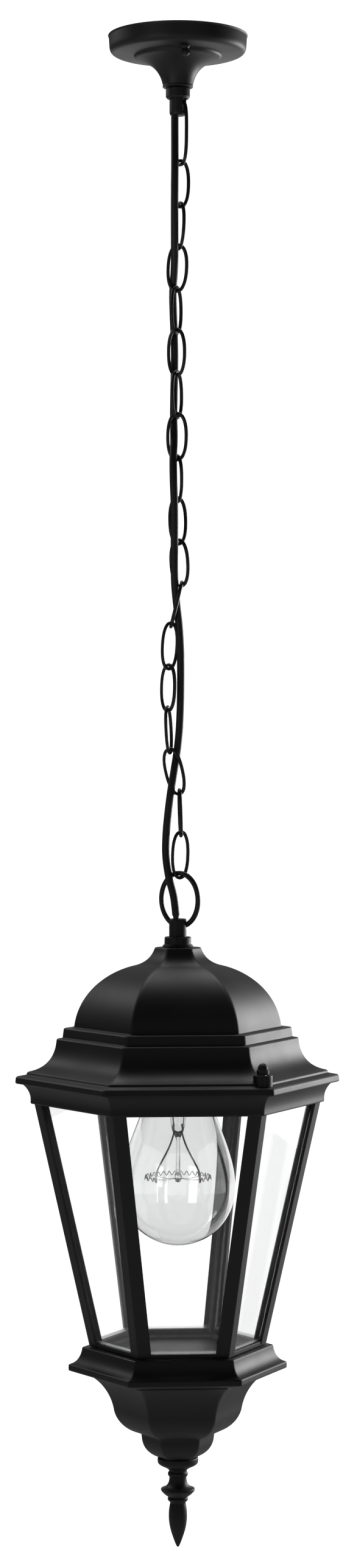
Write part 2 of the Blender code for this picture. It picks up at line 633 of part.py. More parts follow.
def make_lampholder(steel, ceramic, brass, sheath):
    """Bracket, holder, sprung centre contact and the lead inside the dome."""
    half = [(8.2, 69.9), (10.8, 65.0), (15.1, 58.5), (15.1, 46.2)]
    inside = [(7.3, 68.2), (9.3, 64.6), (13.6, 57.9), (13.6, 47.8)]
    bracket = add("lampholder_bracket", to_mesh("lampholder_bracket", strap(raised(half, RIM), 5)), steel)
    cut(bracket, "bracket_inside", strap(raised(inside, RIM), 8))
    cut(bracket, "bracket_stem_hole", rod(5.5, (0, 0, RIM + 66), (0, 0, RIM + 72)))
    cut(bracket, "bracket_lead_hole", rod(3.5, (0, 0, RIM + 44), (0, 0, RIM + 49), 12))
    holder = [(3.5, 45.8), (11.0, 45.8), (14.5, 42.5), (16.0, 32.0), (16.6, 28.0), (19.6, 24.0),
              (20.2, -1.0), (19.2, -2.5), (14.0, -2.5), (14.0, 29.6), (10.5, 31.0), (10.5, 36.0),
              (3.5, 39.0)]
    turning("lampholder", raised(holder, RIM), ceramic, 20)
    strip = block((-5.5, -2.2, RIM + 26.6), (5.5, 2.2, RIM + 27.6))
    contact = add("lampholder_contact", to_mesh("lampholder_contact", strip), brass)
    weld(contact, "contact_leg", block((3.2, -2.0, RIM + 27.2), (4.0, 2.0, RIM + 33.0)))
    tube("lampholder_lead", [(-0.88, -1.9, RIM + 61.0), (-0.7, -1.5, RIM + 57.0), (-0.3, -0.6, RIM + 52.0),
                             (0, 0, RIM + 46.0), (0, 0, RIM + 40.5)], 2.0, sheath)


def make_bulb(glass, brass, wire):
    """Clear lamp: envelope, screw cap, and the glass stem with its leads and filament."""
    outline = [(0, -96.3)]
    outline += bezier(outline[-1], (19.0, -96.3), (32.6, -80.5), (32.6, -63.5), 6)
    outline += bezier(outline[-1], (32.6, -46.0), (23.5, -30.0), (19.5, -15.5), 5)
    outline += bezier(outline[-1], (16.5, -7.5), (12.4, -5.0), (12.2, -1.0), 3)
    outline += [(12.2, 3.5)]
    inside = [(11.5, 3.5), (11.5, -1.0), (18.7, -15.6)]
    inside += bezier(inside[-1], (22.6, -30.0), (31.8, -46.0), (31.8, -63.5), 4)
    inside += bezier(inside[-1], (31.8, -80.0), (18.5, -95.5), (0, -95.5), 5)
    turning("bulb_glass", raised(outline + inside, RIM), glass, 20)
    cap = [(12.55, -0.6), (13.2, -0.6), (13.3, 3.0)]
    for turn in range(4):
        cap += [(13.3, 4.0 + 3.6 * turn), (12.9, 5.8 + 3.6 * turn)]
    cap += [(13.2, 18.6), (9.6, 22.6), (5.2, 24.4), (4.8, 26.2), (0, 26.2)]
    cap += [(0, 20.0), (8.0, 18.6), (12.55, 16.0)]
    shape = cup(raised(cap, RIM), 20, (0, 0))
    add("bulb_cap", to_mesh("bulb_cap", shape, smooth=True), brass)
    turning("bulb_mount", raised([
        (0, 2.8), (10.9, 2.8), (10.6, 0.5), (6.0, -5.0), (4.6, -22.0), (3.4, -31.0), (1.3, -33.4),
        (1.2, -56.0), (2.1, -58.0), (1.2, -60.0), (0, -60.6)], RIM), glass, 12)
    left = [(-2.6, 0.0, -34.2), (-4.8, -1.8, -38.5), (-11.4, -11.6, -54.6), (-13.4, -12.6, -58.0)]
    hoop = list(left)
    for number in range(9):
        angle = math.radians(205 - 230 * number / 8)
        wave = 1.1 if number % 2 else -1.1
        hoop.append((FILAMENT_RADIUS * math.cos(angle), FILAMENT_RADIUS * math.sin(angle), -58.0 + wave))
    hoop += [(-x, y, z) for x, y, z in reversed(left)]
    tube("bulb_filament", [(x, y, z + RIM) for x, y, z in hoop], 0.4, wire, resolution=1)


def main():
    """Build every piece."""
    clear_scene()
    powder = finish("black_powder_coat", (0.018, 0.018, 0.019), 0.42, 0.0)
    black_wire = finish("black_chain_wire", (0.02, 0.02, 0.021), 0.35, 0.3)
    sheath = finish("cable_sheath", (0.02, 0.02, 0.02), 0.5)
    steel = finish("zinc_plated_steel", (0.55, 0.55, 0.54), 0.35, 1.0)
    brass = finish("blackened_brass", (0.03, 0.028, 0.026), 0.4, 0.6)
    bright_brass = finish("nickel_brass", (0.72, 0.66, 0.5), 0.25, 1.0)
    ceramic = finish("glazed_ceramic", (0.78, 0.77, 0.73), 0.25)
    glass = finish("clear_glass", (0.95, 0.97, 0.97), 0.03)
    tungsten = finish("tungsten_wire", (0.35, 0.34, 0.33), 0.4, 1.0)
    make_canopy(powder, steel, brass, ceramic)
    make_chain(black_wire)
    make_cable(sheath)
    make_stem(brass, powder, steel)
    make_roof(powder)
    make_cap_nuts(brass)
    make_cage(powder)
    make_panes(glass)
    make_base(powder)
    make_lampholder(steel, ceramic, bright_brass, sheath)
    make_bulb(glass, bright_brass, tungsten)


main()
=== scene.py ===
"""Looks of a hexagonal hanging lantern: canopy, chain, woven cable, glazed cage and clear lamp.

Sizes are in millimetres inside the classes and become metres when a mesh is made. Corner radii
belong to hexagons, plain radii to round pieces. Heights on the lantern count from the roof's rim.
"""
from __future__ import annotations

import logging
import math
from dataclasses import dataclass, field
from enum import Enum
from typing import Callable, Iterable, Sequence

import bmesh
import bpy
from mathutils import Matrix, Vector


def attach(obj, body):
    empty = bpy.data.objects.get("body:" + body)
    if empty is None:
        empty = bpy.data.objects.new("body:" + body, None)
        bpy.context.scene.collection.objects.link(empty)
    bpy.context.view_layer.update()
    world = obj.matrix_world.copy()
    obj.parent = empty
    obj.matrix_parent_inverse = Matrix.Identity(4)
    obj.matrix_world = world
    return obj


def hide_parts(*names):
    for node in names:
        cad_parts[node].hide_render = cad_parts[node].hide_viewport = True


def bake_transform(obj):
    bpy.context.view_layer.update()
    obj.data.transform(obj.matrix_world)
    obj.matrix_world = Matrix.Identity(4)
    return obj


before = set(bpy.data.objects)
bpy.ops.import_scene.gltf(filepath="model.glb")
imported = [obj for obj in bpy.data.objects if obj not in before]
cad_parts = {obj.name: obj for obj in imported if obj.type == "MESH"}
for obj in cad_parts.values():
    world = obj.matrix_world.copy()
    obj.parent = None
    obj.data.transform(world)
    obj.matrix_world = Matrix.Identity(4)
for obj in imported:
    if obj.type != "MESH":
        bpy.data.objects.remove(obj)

MM = 0.001
LINKS = 18
FLAT_BEND = math.radians(14)
LARGEST_REACH = 0.42
SUPPORT_GAP = 0.5
LOG = logging.getLogger("lantern")

Point2 = tuple[float, float]
Outline = list[Point2]
Line3 = list[Vector]


# ---------------------------------------------------------------- shapes in plain mesh code


class Edge(Enum):
    """How far a moulding's edges are eased, as a radius in millimetres."""

    CRISP = 0.15
    CAST = 0.65
    SOFT = 0.9


def curve(start: Point2, first: Point2, second: Point2, end: Point2, steps: int = 16) -> Outline:
    """Points along one cubic curve, both ends included.

    Args:
        start: Where the curve begins, as radius and height.
        first: Control point near the start.
        second: Control point near the end.
        end: Where the curve ends.
        steps: Number of stretches.

    Returns:
        The points as an outline.
    """
    points = []
    for step in range(steps + 1):
        t = step / steps
        weights = ((1 - t) ** 3, 3 * t * (1 - t) ** 2, 3 * t * t * (1 - t), t**3)
        corners = (start, first, second, end)
        points.append(tuple(sum(w * c[i] for w, c in zip(weights, corners)) for i in (0, 1)))
    return points


def eased(outline: Sequence[Point2], edge: float, steps: int = 4, closed: bool = True) -> Outline:
    """Round every real corner of an outline and add a support point beside each rounding.

    A bend below FLAT_BEND belongs to a curve and stays. A rounding takes no more than LARGEST_REACH
    of the stretches beside it.

    Args:
        outline: The sharp outline.
        edge: Radius of the rounding, in millimetres.
        steps: Stretches in each rounding.
        closed: Whether the last point joins the first.

    Returns:
        The eased outline.
    """
    count = len(outline)
    result: Outline = []
    for number, here in enumerate(outline):
        if not closed and number in (0, count - 1):
            result.append(here)
            continue
        corner = Vector(here)
        back = Vector(outline[number - 1]) - corner
        on = Vector(outline[(number + 1) % count]) - corner
        if back.length < 1e-6 or on.length < 1e-6:
            continue
        bend = math.pi - back.angle(on)
        if bend < FLAT_BEND:
            result.append(here)
            continue
        reach = min(edge * math.tan(bend / 2), LARGEST_REACH * back.length, LARGEST_REACH * on.length)
        radius = reach / math.tan(bend / 2)
        start, end = corner + back.normalized() * reach, corner + on.normalized() * reach
        if back.length > 6 * reach:
            result.append(tuple(start + back.normalized() * min(SUPPORT_GAP, back.length * 0.2)))
        middle = (back.normalized() + on.normalized()).normalized()
        centre = corner + middle * (radius / math.cos(bend / 2))
        first, last = start - centre, end - centre
        for step in range(steps + 1):
            share = step / steps
            spoke = first.lerp(last, share)
            result.append(tuple(centre + spoke.normalized() * radius))
        if on.length > 6 * reach:
            result.append(tuple(end + on.normalized() * min(SUPPORT_GAP, on.length * 0.2)))
    return result


def to_object(name: str, shape: bmesh.types.BMesh, sharp: float = 40.0) -> bpy.types.Object:
    """Turn a bmesh in millimetres into a smooth-shaded object in metres at the origin.

    Args:
        name: The piece's name.
        shape: Its mesh, which is used up.
        sharp: Edges bent by more than this many degrees stay sharp.

    Returns:
        The new object.
    """
    bmesh.ops.remove_doubles(shape, verts=shape.verts, dist=1e-4)
    bmesh.ops.recalc_face_normals(shape, faces=shape.faces)
    bmesh.ops.scale(shape, verts=shape.verts, vec=(MM, MM, MM))
    mesh = bpy.data.meshes.new(name)
    shape.to_mesh(mesh)
    shape.free()
    mesh.shade_smooth()
    mesh.set_sharp_from_angle(angle=math.radians(sharp))
    piece = bpy.data.objects.new(name, mesh)
    bpy.context.collection.objects.link(piece)
    return piece


def skin(rings: Sequence[Sequence[Vector]], around: bool, along: bool) -> bmesh.types.BMesh:
    """Join rings of equal length with quads.

    Args:
        rings: The rings, each a list of points.
        around: Whether each ring is closed.
        along: Whether the last ring joins the first.

    Returns:
        The mesh in millimetres, with flat caps where the rings are closed and the run is not.
    """
    shape = bmesh.new()
    rows = [[shape.verts.new(p) for p in ring] for ring in rings]
    pairs = list(zip(rows, rows[1:])) + ([(rows[-1], rows[0])] if along else [])
    for low, high in pairs:
        count = len(low)
        for n in range(count if around else count - 1):
            m = (n + 1) % count
            shape.faces.new((low[n], low[m], high[m], high[n]))
    if around and not along:
        shape.faces.new(rows[0][::-1])
        shape.faces.new(rows[-1])
    return shape


def lathe(
    name: str, outline: Sequence[Point2], sides: int = 72, centre: Point2 = (0, 0)
) -> bpy.types.Object:
    """Turn an outline of radius and height about an upright axis.

    Args:
        name: The piece's name.
        outline: Its outline; one that starts and ends on the axis is solid, any other is a tube.
        sides: Faces around.
        centre: The axis in plan.

    Returns:
        The turned piece.
    """
    solid = abs(outline[0][0]) < 1e-6 and abs(outline[-1][0]) < 1e-6
    rings = []
    for step in range(sides):
        angle = 2 * math.pi * step / sides
        cos, sin = math.cos(angle), math.sin(angle)
        rings.append([Vector((centre[0] + r * cos, centre[1] + r * sin, z)) for r, z in outline])
    return to_object(name, skin(rings, not solid, True))


def hex_ring(radius: float, height: float, turn: float, easing: float) -> Line3:
    """One level outline of a hexagon with eased corners.

    Args:
        radius: Corner radius before easing.
        height: Height of the outline.
        turn: Angle of the first corner.
        easing: Radius of each eased corner.

    Returns:
        The points around the outline.
    """
    easing = min(easing, radius * 0.5)
    arc = 5
    points = []
    for side in range(6):
        angle = turn + side * math.pi / 3
        out = Vector((math.cos(angle), math.sin(angle), 0))
        centre = out * (radius - easing / math.cos(math.pi / 6))
        for step in range(arc + 1):
            way = angle - math.pi / 6 + math.pi / 3 * step / arc
            points.append(centre + Vector((math.cos(way), math.sin(way), 0)) * easing)
        flat_turn = angle + math.pi / 3
        following = Vector((math.cos(flat_turn), math.sin(flat_turn), 0))
        start = points[-1]
        way = flat_turn - math.pi / 6
        end = following * (radius - easing / math.cos(math.pi / 6))
        end = end + Vector((math.cos(way), math.sin(way), 0)) * easing
        for share in (0.02, 0.25, 0.5, 0.75, 0.98):
            points.append(start.lerp(end, share))
    return [Vector((p.x, p.y, height)) for p in points]


def hexagonal(name: str, outline: Sequence[Point2], turn: float, easing: float) -> bpy.types.Object:
    """Loft a closed outline round a hexagon, as a cast ring or shell."""
    rings = [hex_ring(r, z, turn, easing) for r, z in outline]
    return to_object(name, skin(rings, True, True))


def smooth_line(route: Sequence[Sequence[float]], per_span: int) -> Line3:
    """A smooth line through a route's points.

    Args:
        route: The points, in millimetres.
        per_span: Stretches between two of them.

    Returns:
        The line's points.
    """
    points = [Vector(p) for p in route]
    ends = [2 * points[0] - points[1], *points, 2 * points[-1] - points[-2]]
    line = []
    for number in range(len(points) - 1):
        before, here, there, after = ends[number:number + 4]
        for step in range(per_span):
            t = step / per_span
            line.append(0.5 * (
                2 * here + (there - before) * t
                + (2 * before - 5 * here + 4 * there - after) * t**2
                + (3 * here - before - 3 * there + after) * t**3))
    line.append(points[-1])
    return line


def tube(name: str, line: Line3, radius: Callable[[float], float], sides: int = 20) -> bpy.types.Object:
    """A round tube along a line, with its ends closed flat.

    Args:
        name: The piece's name.
        line: Its centreline.
        radius: Radius at a distance along the line.
        sides: Faces around.

    Returns:
        The tube.
    """
    tangents = [(b - a).normalized() for a, b in zip(line, line[1:])]
    tangents.append(tangents[-1])
    side = tangents[0].orthogonal().normalized()
    rings, run = [], 0.0
    for number, (here, tangent) in enumerate(zip(line, tangents)):
        if number:
            run += (here - line[number - 1]).length
        side = (side - tangent * side.dot(tangent)).normalized()
        up = tangent.cross(side)
        size = radius(run)
        turns = [math.tau * n / sides for n in range(sides)]
        rings.append([here + (side * math.cos(turn) + up * math.sin(turn)) * size for turn in turns])
    return to_object(name, skin(rings, True, False), 60)


def prism(outline: Sequence[Vector], along: Vector) -> bmesh.types.BMesh:
    """A flat outline pushed along a direction."""
    return skin([list(outline), [p + along for p in outline]], True, False)


def merged(shapes: Iterable[bmesh.types.BMesh]) -> bmesh.types.BMesh:
    """Several separate bodies as one mesh.

    Args:
        shapes: The bodies, which are used up.

    Returns:
        The mesh that holds them all.
    """
    whole = bmesh.new()
    for shape in shapes:
        bmesh.ops.recalc_face_normals(shape, faces=shape.faces)
        part = bpy.data.meshes.new("part")
        shape.to_mesh(part)
        shape.free()
        whole.from_mesh(part)
        bpy.data.meshes.remove(part)
    return whole


def baked(source: bpy.types.Object, name: str) -> bpy.types.Object:
    """Replace an object and its modifiers by one plain mesh object.

    Args:
        source: The object with modifiers, which is removed.
        name: Name of the plain piece.

    Returns:
        The plain piece at the origin.
    """
    graph = bpy.context.evaluated_depsgraph_get()
    mesh = bpy.data.meshes.new_from_object(source.evaluated_get(graph), depsgraph=graph)
    mesh.name = name
    bpy.data.objects.remove(source, do_unlink=True)
    piece = bpy.data.objects.new(name, mesh)
    bpy.context.collection.objects.link(piece)
    return piece


def cut_away(piece: bpy.types.Object, cutter: bpy.types.Object) -> bpy.types.Object:
    """Cut one object out of another and remove the cutter.

    Args:
        piece: What is cut.
        cutter: What is taken away.

    Returns:
        The cut piece under the same name.
    """
    modifier = piece.modifiers.new("cut", "BOOLEAN")
    modifier.operation, modifier.solver, modifier.object = "DIFFERENCE", "EXACT", cutter
    name = piece.name
    piece.name = name + "_uncut"
    result = baked(piece, name)
    bpy.data.objects.remove(cutter, do_unlink=True)
    result.data.set_sharp_from_angle(angle=math.radians(35))
    return result


# ---------------------------------------------------------------- shader maths


@dataclass(frozen=True)
class Wire:
    """A value in a shader, so that sums on it add Math nodes."""

    shader: Shader
    socket: bpy.types.NodeSocket

    def _sum(self, operation: str, left: Wire | float, right: Wire | float) -> Wire:
        """One Math node on two values."""
        return self.shader.make("ShaderNodeMath", {"operation": operation}, {0: left, 1: right})

    def __add__(self, other: Wire | float) -> Wire:
        """Self plus other."""
        return self._sum("ADD", self, other)

    def __radd__(self, other: float) -> Wire:
        """Other plus self."""
        return self._sum("ADD", other, self)

    def __sub__(self, other: Wire | float) -> Wire:
        """Self minus other."""
        return self._sum("SUBTRACT", self, other)

    def __rsub__(self, other: float) -> Wire:
        """Other minus self."""
        return self._sum("SUBTRACT", other, self)

    def __mul__(self, other: Wire | float) -> Wire:
        """Self times other."""
        return self._sum("MULTIPLY", self, other)

    def __rmul__(self, other: float) -> Wire:
        """Other times self."""
        return self._sum("MULTIPLY", other, self)

    def larger(self, other: Wire | float) -> Wire:
        """The larger of two values."""
        return self._sum("MAXIMUM", self, other)

    def step(self, low: float, high: float) -> Wire:
        """A smooth rise from 0 to 1.

        Args:
            low: Where it starts.
            high: Where it ends.

        Returns:
            The risen value.
        """
        settings = {"interpolation_type": "SMOOTHSTEP"}
        sockets = {"Value": self, "From Min": low, "From Max": high}
        return self.shader.make("ShaderNodeMapRange", settings, sockets)


class Shader:
    """A material under construction, with one Principled shader."""

    def __init__(self, name: str) -> None:
        """Start an empty material.

        Args:
            name: The material's name.
        """
        self.material = bpy.data.materials.new(name)
        self.material.use_nodes = True
        self.tree = self.material.node_tree
        self.surface = self.tree.nodes["Principled BSDF"]
        self.place = self.make("ShaderNodeTexCoord", {}, {}, "Object")

    def make(self, kind: str, settings: dict, sockets: dict, output: str | int = 0) -> Wire:
        """Add any node.

        Args:
            kind: The node's type.
            settings: Its own settings, set first; a ramp's stops go under "stops".
            sockets: Values or wires for its inputs, by name or number.
            output: Which of its outputs to return.

        Returns:
            That output as a wire.
        """
        node = self.tree.nodes.new(kind)
        for key, value in settings.items():
            if key == "stops":
                ramp = node.color_ramp.elements
                while len(ramp) < len(value):
                    ramp.new(0.5)
                for stop, (where, colour) in zip(ramp, value):
                    stop.position, stop.color = where, (*colour, 1.0)
            else:
                setattr(node, key, value)
        for key, value in sockets.items():
            self.link(value, node.inputs[key])
        return Wire(self, node.outputs[output])

    def link(self, value: Wire | float | tuple, socket: bpy.types.NodeSocket) -> None:
        """Feed an input from a wire or set its value.

        Args:
            value: The wire or the value.
            socket: The input.
        """
        if isinstance(value, Wire):
            self.tree.links.new(value.socket, socket)
        else:
            socket.default_value = value

    def noise(self, scale: float, detail: float = 3.0, roughness: float = 0.5) -> Wire:
        """Noise on the object's own coordinates; scale is features per metre."""
        sockets = {"Vector": self.place, "Scale": scale, "Detail": detail, "Roughness": roughness}
        return self.make("ShaderNodeTexNoise", {"noise_dimensions": "3D"}, sockets, "Fac")

    def stretched(self, scale: tuple) -> Wire:
        """The object's own coordinates, scaled along each axis."""
        sockets = {"Vector": self.place, "Scale": scale}
        return self.make("ShaderNodeMapping", {"vector_type": "POINT"}, sockets)

    def specks(self, scale: float, size: float, share: float) -> Wire:
        """Small round specks in some cells of a grid.

        Args:
            scale: Cells per metre.
            size: Speck radius as a share of a cell.
            share: Part of the cells that hold a speck.

        Returns:
            1 inside a speck, 0 elsewhere.
        """
        sockets = {"Vector": self.place, "Scale": scale}
        near = self.make("ShaderNodeTexVoronoi", {"feature": "F1"}, sockets, "Distance")
        colour = self.make("ShaderNodeTexVoronoi", {"feature": "F1"}, sockets, "Color")
        luck = self.make("ShaderNodeSeparateColor", {}, {0: colour}, 0)
        return (1.0 - near.step(size * 0.5, size)) * luck.step(1.0 - share, 1.0 - share + 0.01)

    def height(self) -> Wire:
        """Height of the point, in metres."""
        return self.make("ShaderNodeSeparateXYZ", {}, {0: self.place}, "Z")

    def blend(self, share: Wire, first: tuple, second: tuple) -> Wire:
        """A colour between two others.

        Args:
            share: 0 for the first colour, 1 for the second.
            first: The first colour.
            second: The second colour.

        Returns:
            The mixed colour.
        """
        node = self.tree.nodes.new("ShaderNodeMix")
        node.data_type = "RGBA"
        self.link(share, node.inputs["Factor"])
        node.inputs[6].default_value = (*first, 1.0)
        node.inputs[7].default_value = (*second, 1.0)
        return Wire(self, node.outputs[2])

    def bump(self, height: Wire, depth: float, strength: float = 1.0) -> Wire:
        """A bump from a height; depth is in metres."""
        return self.make("ShaderNodeBump", {}, {"Height": height, "Distance": depth, "Strength": strength})

    def set(self, **inputs: Wire | float | tuple) -> bpy.types.Material:
        """Set the Principled shader's inputs.

        Args:
            inputs: Values or wires by the input's name, with underscores for spaces.

        Returns:
            The material.
        """
        for key, value in inputs.items():
            name = {"IOR": "IOR", "Specular": "Specular IOR Level"}.get(key, key.replace("_", " ").title())
            value = (*value, 1.0) if isinstance(value, tuple) and len(value) == 3 else value
            self.link(value, self.surface.inputs[name])
        return self.material


@dataclass(frozen=True)
class PowderCoat:
    """Matt black powder coat over cast aluminium, with a fine grain and a few pale specks."""

    name: str = "black_powder_coat"
    dark: tuple = (0.0075, 0.0075, 0.008)
    worn: tuple = (0.022, 0.022, 0.0225)
    roughness: float = 0.47
    grain: float = 2300.0
    depth: float = 0.00002
    dust: float = 0.02

    def build(self) -> bpy.types.Material:
        """Make the material.

        Returns:
            The material.
        """
        shader = Shader(self.name)
        grain = shader.noise(self.grain, 2.0)
        cloud = shader.noise(22.0, 4.0, 0.6)
        specks = shader.specks(260.0, 0.055, self.dust)
        fine = shader.specks(900.0, 0.12, 0.03)
        marks = specks.larger(fine * 0.35)
        pale = (cloud.step(0.35, 0.8) * 0.28 + grain.step(0.5, 0.8) * 0.25 + marks * 0.9)
        colour = shader.blend(pale, self.dark, self.worn)
        rough = self.roughness + cloud.step(0.3, 0.75) * 0.07 + grain * 0.06 + marks * 0.3
        casting = shader.noise(160.0, 3.0)
        bump = shader.bump(grain + casting * 0.9, self.depth)
        return shader.set(base_color=colour, roughness=rough, normal=bump, Specular=0.42)


@dataclass(frozen=True)
class PaintedWire:
    """Black painted steel wire, a little glossier than the castings."""

    name: str = "black_chain_wire"
    dark: tuple = (0.006, 0.006, 0.0065)
    worn: tuple = (0.018, 0.0178, 0.0175)
    roughness: float = 0.33

    def build(self) -> bpy.types.Material:
        """Make the material.

        Returns:
            The material.
        """
        shader = Shader(self.name)
        run = shader.noise(420.0, 3.0)
        rubbed = shader.noise(130.0, 5.0, 0.65).step(0.6, 0.78)
        colour = shader.blend(rubbed * 0.8, self.dark, self.worn)
        rough = self.roughness + run * 0.12 + rubbed * 0.08
        bump = shader.bump(run + shader.noise(1900.0, 2.0) * 0.4, 0.00001)
        return shader.set(
            base_color=colour, roughness=rough, normal=bump, metallic=rubbed * 0.25, Specular=0.5)


@dataclass(frozen=True)
class Sheath:
    """Black plastic cable sheath with faint drawing lines along it."""

    name: str = "cable_sheath"
    dark: tuple = (0.007, 0.007, 0.0075)
    pale: tuple = (0.011, 0.011, 0.0115)
    roughness: float = 0.42

    def build(self) -> bpy.types.Material:
        """Make the material.

        Returns:
            The material.
        """
        shader = Shader(self.name)
        stretched = shader.stretched((1.0, 1.0, 0.02))
        sockets = {"Vector": stretched, "Scale": 1500.0, "Detail": 2.0}
        lines = shader.make("ShaderNodeTexNoise", {}, sockets, "Fac")
        scuff = shader.noise(240.0, 4.0, 0.6)
        paling = lines.step(0.4, 0.75) * 0.5 + scuff.step(0.55, 0.8) * 0.5
        colour = shader.blend(paling, self.dark, self.pale)
        rough = self.roughness + scuff * 0.14
        bump = shader.bump(lines + scuff * 0.5, 0.000008)
        return shader.set(base_color=colour, roughness=rough, normal=bump, Specular=0.45)


@dataclass(frozen=True)
class PlatedMetal:
    """Bare or plated metal with fine brushing, stains and scratches."""

    name: str
    bright: tuple
    dull: tuple
    roughness: float
    metallic: float = 1.0

    def build(self) -> bpy.types.Material:
        """Make the material.

        Returns:
            The material.
        """
        shader = Shader(self.name)
        stretched = shader.stretched((0.06, 1.0, 1.0))
        sockets = {"Vector": stretched, "Scale": 2600.0, "Detail": 2.0}
        brushing = shader.make("ShaderNodeTexNoise", {}, sockets, "Fac")
        stain = shader.noise(70.0, 5.0, 0.6)
        colour = shader.blend(stain.step(0.4, 0.72) * 0.7 + brushing * 0.2, self.bright, self.dull)
        rough = self.roughness + stain * 0.18 + brushing * 0.08
        bump = shader.bump(brushing, 0.00001)
        return shader.set(base_color=colour, roughness=rough, metallic=self.metallic, normal=bump)


@dataclass(frozen=True)
class Ceramic:
    """Glazed white porcelain with soft waviness and small pin marks."""

    name: str = "glazed_ceramic"
    glaze: tuple = (0.74, 0.73, 0.69)
    shade: tuple = (0.6, 0.585, 0.54)

    def build(self) -> bpy.types.Material:
        """Make the material.

        Returns:
            The material.
        """
        shader = Shader(self.name)
        wave = shader.noise(90.0, 3.0)
        pins = shader.specks(500.0, 0.1, 0.08)
        colour = shader.blend(wave.step(0.35, 0.75) * 0.5 + pins * 0.5, self.glaze, self.shade)
        rough = 0.16 + wave * 0.14 + pins * 0.2
        return shader.set(base_color=colour, roughness=rough, normal=shader.bump(wave, 0.0001, 0.6))


@dataclass(frozen=True)
class ClearGlass:
    """Clear glass; its roughness and colour change only where dust or a ground edge lies."""

    name: str
    tint: tuple = (0.99, 0.995, 0.992)
    film: tuple = (0.95, 0.955, 0.955)
    ior: float = 1.46
    wave: float = 0.00001
    ground_below: float = -9.0

    def build(self) -> bpy.types.Material:
        """Make the material.

        Returns:
            The material.
        """
        shader = Shader(self.name)
        film = shader.noise(45.0, 4.0, 0.6).step(0.52, 0.85)
        wave = shader.noise(24.0, 1.0)
        ground = 1.0 - shader.height().step(self.ground_below - 0.0002, self.ground_below)
        colour = shader.blend(film * 0.5, self.tint, self.film)
        rough = 0.004 + film * 0.02 + ground * 0.6
        bump = shader.bump(wave, self.wave, 0.3)
        return shader.set(
            base_color=colour, roughness=rough, transmission_weight=1.0, IOR=self.ior, normal=bump)


@dataclass(frozen=True)
class PlainPaper:
    """The pale, matt, even ground and backdrop."""

    name: str
    colour: tuple
    glow: float

    def build(self) -> bpy.types.Material:
        """Make the material.

        Returns:
            The material.
        """
        shader = Shader(self.name)
        shader.set(base_color=self.colour, roughness=0.95, Specular=0.1)
        shader.surface.inputs["Emission Color"].default_value = (1.0, 1.0, 1.0, 1.0)
        shader.surface.inputs["Emission Strength"].default_value = self.glow
        return shader.material


class Dresser:
    """Makes each finish once and puts it on pieces."""

    def __init__(self) -> None:
        """Start with no materials made."""
        self.made: dict[str, bpy.types.Material] = {}
        self.finishes = {
            "black_powder_coat": PowderCoat(),
            "black_chain_wire": PaintedWire(),
            "cable_sheath": Sheath(),
            "zinc_plated_steel": PlatedMetal(
                "zinc_plated_steel", (0.6, 0.6, 0.59), (0.42, 0.43, 0.45), 0.3),
            "blackened_brass": PlatedMetal(
                "blackened_brass", (0.009, 0.009, 0.009), (0.022, 0.021, 0.02), 0.46, 0.1),
            "nickel_brass": PlatedMetal("nickel_brass", (0.74, 0.7, 0.6), (0.55, 0.5, 0.4), 0.2),
            "glazed_ceramic": Ceramic(),
            "clear_glass": ClearGlass("clear_glass", ground_below=-0.7398),
            # lamp_glass: its grey tint is painted shade. It darkens the clear envelope and glass stem to
            # the grey the lamp shows in the lit scene; the glass itself is clear.
            "lamp_glass": ClearGlass("lamp_glass", (0.872, 0.874, 0.874), (0.84, 0.84, 0.84), 1.5),
            "tungsten_wire": PlatedMetal("tungsten_wire", (0.34, 0.33, 0.32), (0.16, 0.155, 0.15), 0.35),
            "pale_backdrop": PlainPaper("pale_backdrop", (0.06, 0.06, 0.06), 1.2),
            "pale_floor": PlainPaper("pale_floor", (0.12, 0.12, 0.12), 0.28),
        }

    def material(self, finish: str) -> bpy.types.Material:
        """A finish's material, made at its first use.

        Args:
            finish: Name of the finish.

        Returns:
            Its material.
        """
        if finish not in self.made:
            self.made[finish] = self.finishes[finish].build()
        return self.made[finish]

    def dress(self, piece: bpy.types.Object, finish: str) -> bpy.types.Object:
        """Give a piece its one finish.

        Args:
            piece: The piece.
            finish: Name of its finish.

        Returns:
            The piece.
        """
        material = self.material(finish)
        piece.data.materials.clear()
        piece.data.materials.append(material)
        return piece

    def dress_node(self, node: str, finish: str) -> None:
        """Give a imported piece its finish, by its material slots.

        Args:
            node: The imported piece's name.
            finish: Name of its finish.
        """
        material = self.material(finish)
        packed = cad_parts[node]
        if not packed.material_slots:
            packed.data.materials.append(material)
        for slot in packed.material_slots:
            slot.material = material
        LOG.info("dressed %s in %s", node, finish)

    def place(
        self, piece: bpy.types.Object, body: str, finish: str, slot: str, *nodes: str
    ) -> bpy.types.Object:
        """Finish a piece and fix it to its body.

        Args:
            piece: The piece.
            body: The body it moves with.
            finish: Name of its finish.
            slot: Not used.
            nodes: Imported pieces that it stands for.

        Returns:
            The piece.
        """
        self.dress(piece, finish)
        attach(piece, body)
        if nodes:
            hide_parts(*nodes)
        LOG.info("made %s on %s, %d faces", piece.name, body, len(piece.data.polygons))
        return piece


# ---------------------------------------------------------------- geometry trees


